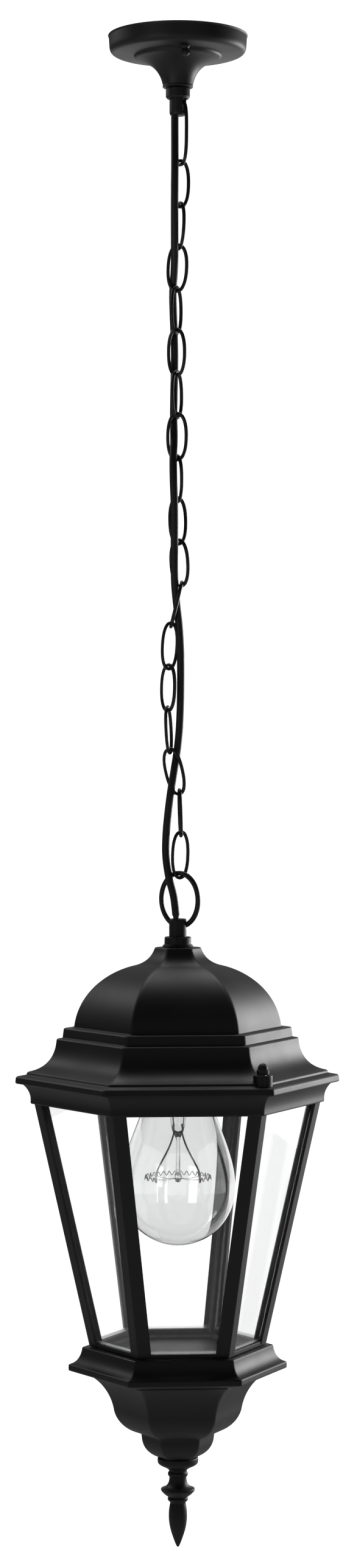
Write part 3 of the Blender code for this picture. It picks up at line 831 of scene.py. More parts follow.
class NodeTree:
    """A Geometry Nodes tree under construction, with named inputs."""

    def __init__(self, name: str, inputs: dict[str, tuple[str, object]]) -> None:
        """Start a tree.

        Args:
            name: The tree's name.
            inputs: Name of each input, with its socket type and default.
        """
        self.tree = bpy.data.node_groups.new(name, "GeometryNodeTree")
        self.tree.interface.new_socket("Geometry", in_out="INPUT", socket_type="NodeSocketGeometry")
        for title, (kind, default) in inputs.items():
            socket = self.tree.interface.new_socket(title, in_out="INPUT", socket_type=kind)
            if default is not None:
                socket.default_value = default
        self.tree.interface.new_socket("Geometry", in_out="OUTPUT", socket_type="NodeSocketGeometry")
        self.start = self.tree.nodes.new("NodeGroupInput")
        self.end = self.tree.nodes.new("NodeGroupOutput")

    def input(self, name: str) -> bpy.types.NodeSocket:
        """One of the tree's inputs."""
        return self.start.outputs[name]

    def add(self, kind: str, settings: dict, sockets: dict, output: int | str = 0) -> bpy.types.NodeSocket:
        """Add a node and return one of its outputs.

        Args:
            kind: The node's type.
            settings: Its own settings, set first.
            sockets: Values or sockets for its inputs, by name or number.
            output: Which output to return.

        Returns:
            The output socket.
        """
        node = self.tree.nodes.new(kind)
        for key, value in settings.items():
            setattr(node, key, value)
        for key, value in sockets.items():
            if isinstance(value, bpy.types.NodeSocket):
                self.tree.links.new(value, node.inputs[key])
            else:
                node.inputs[key].default_value = value
        return node.outputs[output]

    def sum(self, operation: str, first: object, second: object = 0.0) -> bpy.types.NodeSocket:
        """One Math node."""
        return self.add("ShaderNodeMath", {"operation": operation}, {0: first, 1: second})

    def sweep(
        self, line: bpy.types.NodeSocket, sides: bpy.types.NodeSocket | int, caps: bool
    ) -> bpy.types.NodeSocket:
        """A round wire along a curve, as thick as the curve's radius says.

        Args:
            line: The curve.
            sides: Faces around the wire.
            caps: Whether its ends are closed.

        Returns:
            The wire's mesh.
        """
        circle = {"Resolution": sides, "Radius": 1.0}
        section = self.add("GeometryNodeCurvePrimitiveCircle", {"mode": "RADIUS"}, circle)
        sockets = {"Curve": line, "Profile Curve": section, "Fill Caps": caps}
        wire = self.add("GeometryNodeCurveToMesh", {}, sockets)
        if "Scale" in wire.node.inputs:
            radius = self.add("GeometryNodeInputRadius", {}, {})
            self.tree.links.new(radius, wire.node.inputs["Scale"])
        return wire

    def close(self, geometry: bpy.types.NodeSocket, smooth: bool = True) -> bpy.types.NodeTree:
        """Realise the geometry, set its material and finish the tree.

        Args:
            geometry: What the tree made.
            smooth: Whether it is shaded smooth.

        Returns:
            The finished tree.
        """
        real = self.add("GeometryNodeRealizeInstances", {}, {0: geometry})
        shaded = self.add("GeometryNodeSetShadeSmooth", {}, {"Geometry": real, "Shade Smooth": smooth})
        sockets = {"Geometry": shaded, "Material": self.input("Material")}
        dressed = self.add("GeometryNodeSetMaterial", {}, sockets)
        self.tree.links.new(dressed, self.end.inputs[0])
        return self.tree


def grow(
    name: str, tree: bpy.types.NodeTree, values: dict[str, object], source: bpy.types.Mesh | None = None
) -> bpy.types.Object:
    """Run a tree once and keep its result as a plain piece.

    Args:
        name: The piece's name.
        tree: The tree.
        values: Its inputs by name.
        source: Mesh that the tree works on, if it needs one.

    Returns:
        The plain piece.
    """
    mesh = source or bpy.data.meshes.new(name + "_seed")
    seed = bpy.data.objects.new(name + "_seed", mesh)
    modifier = seed.modifiers.new("grow", "NODES")
    modifier.node_group = tree
    names = {s.name: s.identifier for s in tree.interface.items_tree if s.in_out == "INPUT"}
    for title, value in values.items():
        modifier[names[title]] = value
    bpy.context.collection.objects.link(seed)
    return baked(seed, name)


def link_tree() -> bpy.types.NodeTree:
    """A tree for one oval of wire with a small weld on its side, hung and turned in place.

    Returns:
        The tree.
    """
    tree = NodeTree("hung_oval", {
        "Length": ("NodeSocketFloat", 0.028), "Width": ("NodeSocketFloat", 0.0124),
        "Wire": ("NodeSocketFloat", 0.0019), "Fullness": ("NodeSocketFloat", 2.3),
        "Weld": ("NodeSocketFloat", 0.1), "Steps": ("NodeSocketInt", 72), "Sides": ("NodeSocketInt", 14),
        "Turn": ("NodeSocketVector", (0.0, 0.0, 0.0)), "Lean": ("NodeSocketVector", (0.0, 0.0, 0.0)),
        "Place": ("NodeSocketVector", (0.0, 0.0, 0.0)), "Material": ("NodeSocketMaterial", None),
    })
    circle = tree.add("GeometryNodeCurvePrimitiveCircle", {"mode": "RADIUS"}, {
        "Resolution": tree.input("Steps"), "Radius": 1.0})
    position = tree.add("GeometryNodeInputPosition", {}, {})
    split = tree.add("ShaderNodeSeparateXYZ", {}, {0: position}, "X")
    across, up = split, split.node.outputs["Y"]
    power = tree.sum("DIVIDE", 2.0, tree.input("Fullness"))

    def shaped(value: bpy.types.NodeSocket, size: bpy.types.NodeSocket) -> bpy.types.NodeSocket:
        """Half of a size times the signed power of a value.

        Args:
            value: The value, from -1 to 1.
            size: The full size over the wire.

        Returns:
            The product.
        """
        half = tree.sum("MULTIPLY", tree.sum("SUBTRACT", size, tree.input("Wire")), 0.5)
        grown = tree.sum("POWER", tree.sum("ABSOLUTE", value), power)
        return tree.sum("MULTIPLY", tree.sum("MULTIPLY", tree.sum("SIGN", value), grown), half)

    x = shaped(across, tree.input("Width"))
    half_long = tree.sum("MULTIPLY", tree.sum("SUBTRACT", tree.input("Length"), tree.input("Wire")), 0.5)
    z = tree.sum("SUBTRACT", shaped(up, tree.input("Length")), half_long)
    moved = tree.add("ShaderNodeCombineXYZ", {}, {"X": x, "Z": z})
    oval = tree.add("GeometryNodeSetPosition", {}, {"Geometry": circle, "Position": moved})
    near = tree.sum("ABSOLUTE", tree.sum("ADD", z, half_long))
    falloff = tree.add("ShaderNodeMapRange", {"interpolation_type": "SMOOTHSTEP"}, {
        "Value": near, "From Min": 0.0013, "From Max": 0.0002, "To Min": 0.0, "To Max": 1.0})
    on_side = tree.sum("GREATER_THAN", x, 0.0)
    swell = tree.sum("MULTIPLY", tree.sum("MULTIPLY", falloff, on_side), tree.input("Weld"))
    thick = tree.sum("MULTIPLY", tree.sum("ADD", swell, 1.0), tree.sum("MULTIPLY", tree.input("Wire"), 0.5))
    sized = tree.add("GeometryNodeSetCurveRadius", {}, {"Curve": oval, "Radius": thick})
    wire = tree.sweep(sized, tree.input("Sides"), False)
    turned = tree.add("GeometryNodeTransform", {}, {"Geometry": wire, "Rotation": tree.input("Turn")})
    hung = tree.add("GeometryNodeTransform", {}, {
        "Geometry": turned, "Rotation": tree.input("Lean"), "Translation": tree.input("Place")})
    return tree.close(hung)


def round_tree() -> bpy.types.NodeTree:
    """A tree that repeats its own mesh at even turns about an upright axis.

    Returns:
        The tree.
    """
    tree = NodeTree("repeated_round", {
        "Count": ("NodeSocketInt", 6), "First turn": ("NodeSocketFloat", 0.0),
        "Full turn": ("NodeSocketFloat", math.tau),
        "Axis": ("NodeSocketVector", (0.0, 0.0, 0.0)), "Smooth": ("NodeSocketBool", True),
        "Material": ("NodeSocketMaterial", None),
    })
    sockets = {"Count": tree.input("Count"), "Position": tree.input("Axis")}
    points = tree.add("GeometryNodePoints", {}, sockets)
    index = tree.add("GeometryNodeInputIndex", {}, {})
    step = tree.sum("DIVIDE", tree.input("Full turn"), tree.input("Count"))
    turn = tree.sum("ADD", tree.sum("MULTIPLY", index, step), tree.input("First turn"))
    rotation = tree.add("ShaderNodeCombineXYZ", {}, {"Z": turn})
    copies = tree.add("GeometryNodeInstanceOnPoints", {}, {
        "Points": points, "Instance": tree.input("Geometry"), "Rotation": rotation})
    return tree.close(copies)


def helix_tree() -> bpy.types.NodeTree:
    """A tree for a round thread about an upright axis, with tapered ends.

    Returns:
        The tree.
    """
    tree = NodeTree("round_thread", {
        "Turns": ("NodeSocketFloat", 3.0), "Radius": ("NodeSocketFloat", 0.013),
        "Rise": ("NodeSocketFloat", 0.012), "Wire": ("NodeSocketFloat", 0.0008),
        "Base": ("NodeSocketVector", (0.0, 0.0, 0.0)),
        "Steps": ("NodeSocketInt", 64), "Material": ("NodeSocketMaterial", None),
    })
    spiral = tree.add("GeometryNodeCurveSpiral", {}, {
        "Resolution": tree.input("Steps"), "Rotations": tree.input("Turns"),
        "Start Radius": tree.input("Radius"), "End Radius": tree.input("Radius"),
        "Height": tree.input("Rise")})
    share = tree.add("GeometryNodeSplineParameter", {}, {}, "Factor")
    ends = tree.sum("MINIMUM", share, tree.sum("SUBTRACT", 1.0, share))
    taper = tree.add("ShaderNodeMapRange", {}, {"Value": ends, "From Max": 0.05, "To Min": 0.2})
    sized = tree.add("GeometryNodeSetCurveRadius", {}, {
        "Curve": spiral, "Radius": tree.sum("MULTIPLY", taper, tree.input("Wire"))})
    wire = tree.sweep(sized, 10, True)
    placed = tree.add("GeometryNodeTransform", {}, {"Geometry": wire, "Translation": tree.input("Base")})
    return tree.close(placed)


# ---------------------------------------------------------------- the chain's geometry


@dataclass
class ChainPlan:
    """Where the chain's links cross, and how each link is turned."""

    wire: float = 1.9
    gap: float = 0.3
    link_length: float = 28.0
    link_width: float = 12.4
    first_length: float = 37.5
    first_width: float = 14.0
    first_top: float = -37.6
    ring_wire: float = 2.8
    ring_length: float = 33.2
    ring_width: float = 25.7
    slot_offset: float = 2.3
    ring_slot_offset: float = 2.4
    turns: tuple[float, ...] = (
        -60, 30, -60, 0, 60, -30, 60, 0, -60, 31, -25, -88, 38, -45, 74, -26, -85, 34)
    ring_turn: float = -25.0
    sway: tuple[float, ...] = (
        1.8, 1.7, 1.2, 0.2, -0.9, -0.8, -0.7, -0.4, -0.6, -0.3, 0.2, 1.7, -4.0, -5.3, -5.8, -4.6,
        0.9, 1.7, 1.0)
    joints: Line3 = field(default_factory=list)

    def side(self, turn: float) -> Vector:
        """The level direction square to a link's own plane."""
        angle = math.radians(turn + 90)
        return Vector((math.cos(angle), math.sin(angle), 0))

    def __post_init__(self) -> None:
        """Work out every crossing from the canopy down."""
        start = self.side(self.turns[0]) * self.slot_offset
        self.joints = [Vector((start.x, start.y, self.first_top))]
        reach = self.link_length - 2 * self.wire - self.gap
        reaches = [self.first_length - self.wire] + [reach] * (LINKS - 1)
        reaches.append(self.ring_length - self.ring_wire - (self.wire + self.ring_wire) / 2 - self.gap)
        places = [Vector((x, 0, 0)) for x in self.sway[1:]]
        places.append(self.side(self.ring_turn) * self.ring_slot_offset)
        for length, place in zip(reaches, places):
            above = self.joints[-1]
            aside = math.hypot(place.x - above.x, place.y - above.y)
            self.joints.append(Vector((place.x, place.y, above.z - math.sqrt(length**2 - aside**2))))


@dataclass
class Chain:
    """Eighteen oval links and the ring that carries the lantern."""

    plan: ChainPlan
    dresser: Dresser
    weld: float = 0.09
    tree: bpy.types.NodeTree | None = None

    def hang(
        self, name: str, node: str, body: str, sizes: dict[str, object], number: int, drop: float
    ) -> None:
        """Make one oval of wire between two crossings.

        Args:
            name: The piece's name.
            node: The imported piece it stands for.
            body: The body it moves with.
            sizes: Its own inputs for the tree.
            number: Which crossing it hangs from.
            drop: How far its top lies above that crossing.
        """
        top, foot = self.plan.joints[number], self.plan.joints[number + 1]
        down = (foot - top).normalized()
        lean = Vector((0, 0, -1)).rotation_difference(down).to_euler()
        turn = self.plan.turns[number] if number < LINKS else self.plan.ring_turn
        values = {
            "Turn": (0.0, 0.0, math.radians(turn)), "Lean": tuple(lean),
            "Place": tuple((top - down * drop) * MM), **sizes}
        piece = grow(name, self.tree, values)
        self.dresser.place(piece, body, "black_chain_wire", "black_chain_wire", node)

    def build(self) -> None:
        """Make the whole chain."""
        self.tree = link_tree()
        plan = self.plan
        for number in range(LINKS):
            long, wide = plan.link_length, plan.link_width
            fullness = 2.3
            if number == 0:
                long, wide, fullness = plan.first_length, plan.first_width, 3.0
            sizes = {"Length": long * MM, "Width": wide * MM, "Wire": plan.wire * MM, "Fullness": fullness,
                     "Weld": self.weld, "Steps": 72, "Sides": 14}
            body = f"link_{number + 1:02d}"
            self.hang(f"oval_link_{number + 1:02d}", f"chain_link_{number + 1:02d}", body, sizes, number,
                      plan.wire + plan.gap if number else 0.0)
        sizes = {"Length": plan.ring_length * MM, "Width": plan.ring_width * MM,
                 "Wire": plan.ring_wire * MM, "Fullness": 2.0, "Weld": 0.06, "Steps": 96, "Sides": 18}
        drop = (plan.wire + plan.ring_wire) / 2 + plan.gap
        self.hang("carrying_ring", "hanging_ring", "ring", sizes, LINKS, drop)


@dataclass
class Cable:
    """The cable, woven through the chain, in pieces that meet at every second crossing."""

    plan: ChainPlan
    dresser: Dresser
    diameter: float = 4.4
    pieces: int = 10
    tail: float = 3.0
    slimmer: float = 0.5
    sunk_end: float = 8.4
    spacing: float = 0.9
    end_margin: float = 0.5
    route: tuple[tuple[float, float, float], ...] = (
        (-1.78, -1.02, -17.0), (-1.78, -1.02, -32.0), (-1.78, -1.02, -46.0),
        (-1.75, -2.67, -58.5), (-1.73, -5.46, -73.4), (-1.81, -6.60, -85.5),
        (-1.88, -6.68, -97.2), (-1.87, -5.76, -109.5), (-1.85, -3.50, -121.0),
        (-2.01, 0.54, -132.8), (-2.81, 4.45, -144.9), (-2.62, 6.05, -156.8),
        (-2.14, 6.25, -168.8), (-1.89, 6.11, -180.7), (-2.00, 5.97, -192.7),
        (-2.28, 5.44, -204.6), (-2.42, 3.55, -216.6), (-2.19, -0.32, -228.5),
        (-2.67, -4.24, -240.5), (-2.52, -6.08, -252.4), (-2.05, -6.48, -264.4),
        (-1.89, -6.05, -276.3), (-1.96, -5.23, -288.2), (-1.99, -3.91, -300.1),
        (-1.68, -2.35, -312.0), (-0.55, -1.32, -323.6), (0.71, -0.87, -335.0),
        (1.46, -0.36, -347.0), (1.66, 0.03, -358.8), (1.61, 0.52, -370.8),
        (1.36, 1.37, -382.7), (0.76, 2.11, -394.6), (-0.50, 1.91, -406.5),
        (-2.32, -0.24, -418.3), (-4.14, -2.05, -429.8), (-5.63, -1.81, -441.8),
        (-6.67, -1.01, -453.6), (-6.78, -0.90, -465.4), (-5.13, -1.59, -477.4),
        (-2.30, -1.98, -489.0), (-0.93, -1.99, -501.6), (-0.93, -1.99, -508.1),
    )

    def build(self) -> None:
        """Make every piece of the cable."""
        line = smooth_line(self.route, 12)
        joints = self.plan.joints
        heights = [line[0].z] + [joints[2 * n + 1].z for n in range(self.pieces - 1)] + [line[-1].z]
        for number in range(self.pieces):
            top, foot = heights[number], heights[number + 1]
            tail = self.cut(line, top + self.tail, top + 0.05) if number else []
            points = tail + self.cut(line, top, foot)
            run = sum((b - a).length for a, b in zip(points, points[1:]))
            hidden = sum((b - a).length for a, b in zip(tail, tail[1:])) + 0.01 if number else -1.0
            sunk = run - self.sunk_end if number == self.pieces - 1 else run + 1.0

            def radius(distance: float, hidden: float = hidden, sunk: float = sunk) -> float:
                """Full radius, but a little less where the piece lies inside another."""
                inside = distance < hidden or distance > sunk
                return self.diameter / 2 - (self.slimmer if inside else 0.0)

            piece = tube(f"woven_cable_{number + 1:02d}", points, radius)
            self.dresser.dress(piece, "cable_sheath")
            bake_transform(piece)
            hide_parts(f"cable_{number + 1:02d}")
            path = [tuple(p * MM) for p in tail[:-1] + points[len(tail):]]
            LOG.info("made %s, %.1f mm long", piece.name, run)

    @staticmethod
    def at_height(line: Line3, height: float) -> Vector:
        """The point where a falling line passes a height.

        Args:
            line: The line.
            height: The height.

        Returns:
            The point, or the nearer end of the line where it doesn't reach the height.
        """
        for above, below in zip(line, line[1:]):
            if above.z > below.z and above.z >= height >= below.z:
                return above.lerp(below, (above.z - height) / (above.z - below.z))
        return line[0].copy() if height > line[0].z else line[-1].copy()

    @classmethod
    def cut(cls, line: Line3, top: float, foot: float) -> Line3:
        """The part of a line between two heights, with its points spaced out.

        Args:
            line: A falling line.
            top: Height of the first point.
            foot: Height of the last point.

        Returns:
            The points, with the first and last exactly at the two heights.
        """
        first, last = cls.at_height(line, top), cls.at_height(line, foot)
        kept = [first]
        for point in line:
            inside = last.z + cls.end_margin < point.z < first.z - cls.end_margin
            if inside and (point - kept[-1]).length >= cls.spacing:
                kept.append(point)
        return kept + [last]


@dataclass
class Canopy:
    """The ceiling cup with its screws, stem and collar."""

    plan: ChainPlan
    dresser: Dresser
    radius: float = 39.8
    depth: float = 29.8
    screw_radius: float = 28.5
    screw_turn: float = -81.5
    stem_radius: float = 4.8
    stem_end: float = -45.6
    bore_offset: float = 2.05
    bore_radius: float = 2.5
    slot_width: float = 4.0
    slot_height: float = 9.8
    slot_drop: float = 2.5

    def cup(self) -> None:
        """The spun cup: wall, rolled edge, raised circle and trumpet."""
        edge = self.radius
        outer = [(edge, -0.1), (edge - 0.6, -1.2), (edge - 0.9, -6.0)]
        outer += curve(outer[-1], (edge - 1.0, -9.4), (edge - 2.2, -10.3), (35.4, -10.65), 8)[1:]
        outer += [(25.4, -11.4), (24.8, -11.7), (24.4, -12.7), (23.4, -13.4)]
        outer += curve(outer[-1], (15.6, -15.4), (10.2, -19.6), (8.5, -28.6), 20)[1:]
        outer += [(8.7, -29.1), (8.5, -29.6), (7.9, -self.depth)]
        inner = [(5.3, -self.depth), (5.3, -28.6), (7.4, -28.6)]
        inner += curve(inner[-1], (8.9, -19.6), (15.4, -14.2), (23.0, -12.4), 14)[1:]
        inner += [(24.2, -10.4), (34.8, -9.6), (37.4, -8.0), (38.2, -6.0), (38.6, -0.1)]
        cup = lathe("canopy_cup", eased(outer + inner, Edge.CAST.value, 3), 112)
        self.dresser.place(cup, "canopy", "black_powder_coat", "black_powder_coat", "canopy")

    def screws(self) -> None:
        """The two thumb screws, with a waist under a ribbed head."""
        turn = math.radians(self.screw_turn)
        outline = [(0, -17.6), (1.2, -17.5), (2.1, -16.9), (2.45, -16.0), (2.45, -14.9), (2.0, -14.1),
                   (1.75, -13.4), (2.1, -12.7), (2.6, -12.4), (2.6, -11.65), (1.45, -11.6), (1.45, -0.9),
                   (0, -0.9)]
        ribs = round_tree()
        for number, side in ((1, 1), (2, -1)):
            centre = (side * self.screw_radius * math.cos(turn), side * self.screw_radius * math.sin(turn))
            body = f"canopy_screw_{number}"
            piece = lathe(f"thumb_screw_{number}", eased(outline, Edge.CRISP.value, 3, False), 40, centre)
            self.dresser.place(piece, body, "blackened_brass", "zinc_plated_steel", body)
            rib = prism([Vector(p) for p in ((2.35, -0.16, -16.3), (2.6, 0, -16.3), (2.35, 0.16, -16.3))],
                        Vector((0, 0, 1.8)))
            seed = to_object("rib", rib)
            values = {"Count": 22, "Axis": (centre[0] * MM, centre[1] * MM, 0.0)}
            ring = grow(f"thumb_screw_ribs_{number}", ribs, values, seed.data)
            bpy.data.objects.remove(seed, do_unlink=True)
            self.dresser.place(ring, body, "blackened_brass", "zinc_plated_steel")

    def stem(self) -> None:
        """The stem, its slot for the first link, its cable bore and the collar round it."""
        top = -20.0
        radius, end = self.stem_radius, self.stem_end
        outline = [(0, top), (6.6, top), (6.6, -28.3), (radius, -28.3), (radius, -43.4)]
        outline += curve(outline[-1], (radius, -44.8), (4.3, end), (3.1, end), 6)[1:]
        outline += [(0, end)]
        stem = lathe("turned_canopy_stem", eased(outline, Edge.CRISP.value, 3, False), 56)
        plan = self.plan
        turn = math.radians(plan.turns[0])
        centre = plan.joints[0] - Vector((0, 0, self.slot_drop))
        cutters = merged([
            upright_slot(centre, turn, self.slot_width, self.slot_height, 14),
            rod(plan.side(plan.turns[0]) * -self.bore_offset, self.bore_radius, -60, -10)])
        stem = cut_away(stem, to_object("canopy_stem_cutter", cutters))
        self.dresser.place(stem, "canopy", "black_powder_coat", "blackened_brass", "canopy_stem")
        collar = [(5.1, -30.1), (6.6, -30.1), (6.85, -30.5), (6.85, -35.0), (6.0, -36.0), (5.1, -36.0)]
        piece = lathe("turned_canopy_collar", eased(collar, Edge.CRISP.value, 3), 56)
        self.dresser.place(piece, "canopy", "black_powder_coat", "black_powder_coat", "canopy_collar")

    def build(self) -> None:
        """Make the canopy and dress what it hides."""
        self.cup()
        self.screws()
        self.stem()
        self.dresser.dress_node("ceiling_bracket", "zinc_plated_steel")
        self.dresser.dress_node("terminal_block", "glazed_ceramic")


def upright_slot(
    centre: Vector, turn: float, width: float, height: float, length: float
) -> bmesh.types.BMesh:
    """A level slot with round ends above and below.

    Args:
        centre: Its middle.
        turn: Its direction in plan.
        width: Its width.
        height: Its height with the round ends.
        length: Its length through the piece.

    Returns:
        The slot as a solid.
    """
    half = height / 2 - width / 2
    along = Vector((math.cos(turn), math.sin(turn), 0))
    across = Vector((-along.y, along.x, 0))
    outline = []
    for lift, first in ((half, 0.0), (-half, math.pi)):
        for step in range(13):
            angle = first + math.pi * step / 12
            offset = across * (width / 2 * math.cos(angle))
            offset += Vector((0, 0, lift + width / 2 * math.sin(angle)))
            outline.append(centre - along * length / 2 + offset)
    return prism(outline, along * length)


def rod(centre: Vector, radius: float, low: float, high: float, sides: int = 32) -> bmesh.types.BMesh:
    """An upright cylinder between two heights.

    Args:
        centre: Its axis in plan.
        radius: Its radius.
        low: Height of its foot.
        high: Height of its top.
        sides: Faces around.

    Returns:
        The cylinder.
    """
    around = [Vector((centre.x + radius * math.cos(math.tau * n / sides),
                      centre.y + radius * math.sin(math.tau * n / sides), low)) for n in range(sides)]
    return prism(around, Vector((0, 0, high - low)))


@dataclass
class LanternPlan:
    """Sizes that the roof, cage, base and lamp share."""

    plan: ChainPlan
    rim_below_ring: float = 84.9
    turn: float = math.radians(4.2)
    stud_from_axis: float = 82.8
    stud_turns: tuple[float, float] = (-60.0, 120.0)

    @property
    def rim(self) -> float:
        """Height of the roof's rim."""
        return self.plan.joints[-1].z - self.rim_below_ring

    def raised(self, outline: Iterable[Point2]) -> Outline:
        """An outline counted from the rim, moved to its real height."""
        return [(r, z + self.rim) for r, z in outline]

    def studs(self) -> list[Vector]:
        """Places of the two studs in plan."""
        angles = [math.radians(a) + self.turn for a in self.stud_turns]
        return [Vector((math.cos(a), math.sin(a), 0)) * self.stud_from_axis for a in angles]


@dataclass
class Roof:
    """The domed roof with its stem, collar, bosses, nuts and lampholder."""

    lantern: LanternPlan
    dresser: Dresser
    stem_radius: float = 5.0
    bore_offset: float = 2.2
    bore_radius: float = 2.5
    slot_room: float = 1.25
    slot_height: float = 6.1
    slot_lift: float = 0.55
    corner_easing: float = 2.6

    def shell(self) -> None:
        """The cast shell: cap, ogee dome, two steps, cove and rim."""
        outer = [(6.4, 73.2), (13.1, 73.2), (13.7, 72.5)]
        outer += curve(outer[-1], (15.5, 67.3), (19.4, 64.1), (25.6, 62.8), 14)[1:]
        outer += curve(outer[-1], (42.0, 59.0), (57.6, 46.4), (59.5, 27.6), 30)[1:]
        outer += [(64.7, 27.6), (65.35, 26.9), (66.0, 21.9), (68.7, 21.6), (69.4, 20.9)]
        outer += curve(outer[-1], (70.0, 12.3), (74.2, 4.9), (85.4, 2.9), 22)[1:]
        outer += [(86.1, 2.3), (86.5, 1.2), (91.7, 0.3), (92.5, -0.5), (92.8, -3.3), (92.2, -3.9)]
        inner = [(77.0, -3.9), (76.4, 2.0), (69.5, 7.5), (66.6, 15.0), (65.0, 18.5), (61.0, 23.6)]
        inner += [(56.8, 25.0)]
        inner += curve((56.8, 27.4), (55.2, 44.0), (40.5, 56.2), (25.0, 59.8), 16)
        inner += [(14.5, 65.0), (11.4, 70.2), (6.4, 70.2)]
        outline = eased(self.lantern.raised(outer + inner), Edge.CAST.value, 4)
        shell = hexagonal("domed_roof", outline, self.lantern.turn, self.corner_easing)
        rim = self.lantern.rim
        cutters = [rod(place, 2.2, rim - 9, rim + 15) for place in self.lantern.studs()]
        shell = cut_away(shell, to_object("stud_cutters", merged(cutters)))
        self.dresser.place(shell, "roof", "black_powder_coat", "black_powder_coat", "roof")

    def bosses(self) -> None:
        """The round bosses in the rim and the domed nuts that stand on them."""
        for number, place in enumerate(self.lantern.studs(), 1):
            boss = [(2.2, -1.0), (5.3, -1.0), (5.3, 6.4), (5.0, 7.0), (2.2, 7.0)]
            boss = eased(self.lantern.raised(boss), Edge.CAST.value)
            piece = lathe(f"stud_boss_{number}", boss, 48, place.xy[:])
            self.dresser.place(piece, "roof", "black_powder_coat", "black_powder_coat")
            nut = [(2.05, 7.4), (3.4, 7.4), (3.5, 7.8), (3.4, 9.6), (2.9, 10.1)]
            nut += curve(nut[-1], (2.9, 11.8), (1.9, 13.4), (0.0, 13.5), 10)[1:]
            nut += [(0.0, 12.6), (2.05, 12.2)]
            count = next(n for n in range(len(nut)) if nut[n][0] == 0.0)
            outline = nut[count + 1:] + nut[:count + 1]
            piece = lathe(f"domed_nut_{number}", self.lantern.raised(outline), 40, place.xy[:])
            body = f"cap_nut_{number}"
            self.dresser.place(piece, body, "blackened_brass", "blackened_brass", body)

    def stem(self) -> None:
        """The stem with its slot for the ring, its bore, and the stepped collar."""
        plan, rim = self.lantern.plan, self.lantern.rim
        outline = [(0, 61.5), (self.stem_radius, 61.5), (self.stem_radius, 88.6), (4.4, 89.4), (0, 89.4)]
        outline = eased(self.lantern.raised(outline), Edge.CAST.value, 4, False)
        stem = lathe("turned_lantern_stem", outline, 56)
        side = plan.side(plan.ring_turn)
        centre = side * plan.ring_slot_offset
        centre = Vector((centre.x, centre.y, rim + self.lantern.rim_below_ring + self.slot_lift))
        turn, width = math.radians(plan.ring_turn), plan.ring_wire + self.slot_room
        cutters = merged([
            upright_slot(centre, turn, width, self.slot_height, 14),
            rod(side * -self.bore_offset, self.bore_radius, rim + 50, rim + 95)])
        stem = cut_away(stem, to_object("lantern_stem_cutter", cutters))
        self.dresser.place(stem, "roof", "black_powder_coat", "blackened_brass", "lantern_stem")
        collar = [(5.2, 73.5), (8.6, 73.5), (8.7, 73.9), (8.5, 74.4), (7.7, 74.8), (7.6, 78.6), (7.2, 79.1)]
        collar += [(5.2, 79.1)]
        piece = lathe("stepped_collar", eased(self.lantern.raised(collar), Edge.CRISP.value, 3), 56)
        self.dresser.place(piece, "roof", "black_powder_coat", "black_powder_coat", "stem_collar")

    def lampholder(self) -> None:
        """The porcelain holder, its bracket, nut, contact and lead."""
        holder = [(3.5, 45.8), (11.0, 45.8), (14.5, 42.5), (16.0, 32.0), (16.6, 28.0), (19.6, 24.0),
                  (20.2, -1.0), (19.2, -2.5), (14.0, -2.5), (14.0, 29.6), (10.5, 31.0), (10.5, 36.0),
                  (3.5, 39.0)]
        piece = lathe("porcelain_holder", eased(self.lantern.raised(holder), Edge.SOFT.value), 72)
        self.dresser.place(piece, "roof", "glazed_ceramic", "glazed_ceramic", "lampholder")
        self.dresser.dress_node("lampholder_bracket", "zinc_plated_steel")
        self.dresser.dress_node("stem_lock_nut", "zinc_plated_steel")
        self.dresser.dress_node("lampholder_contact", "nickel_brass")
        self.dresser.dress_node("lampholder_lead", "cable_sheath")

    def build(self) -> None:
        """Make the roof group."""
        self.shell()
        self.bosses()
        self.stem()
        self.lampholder()


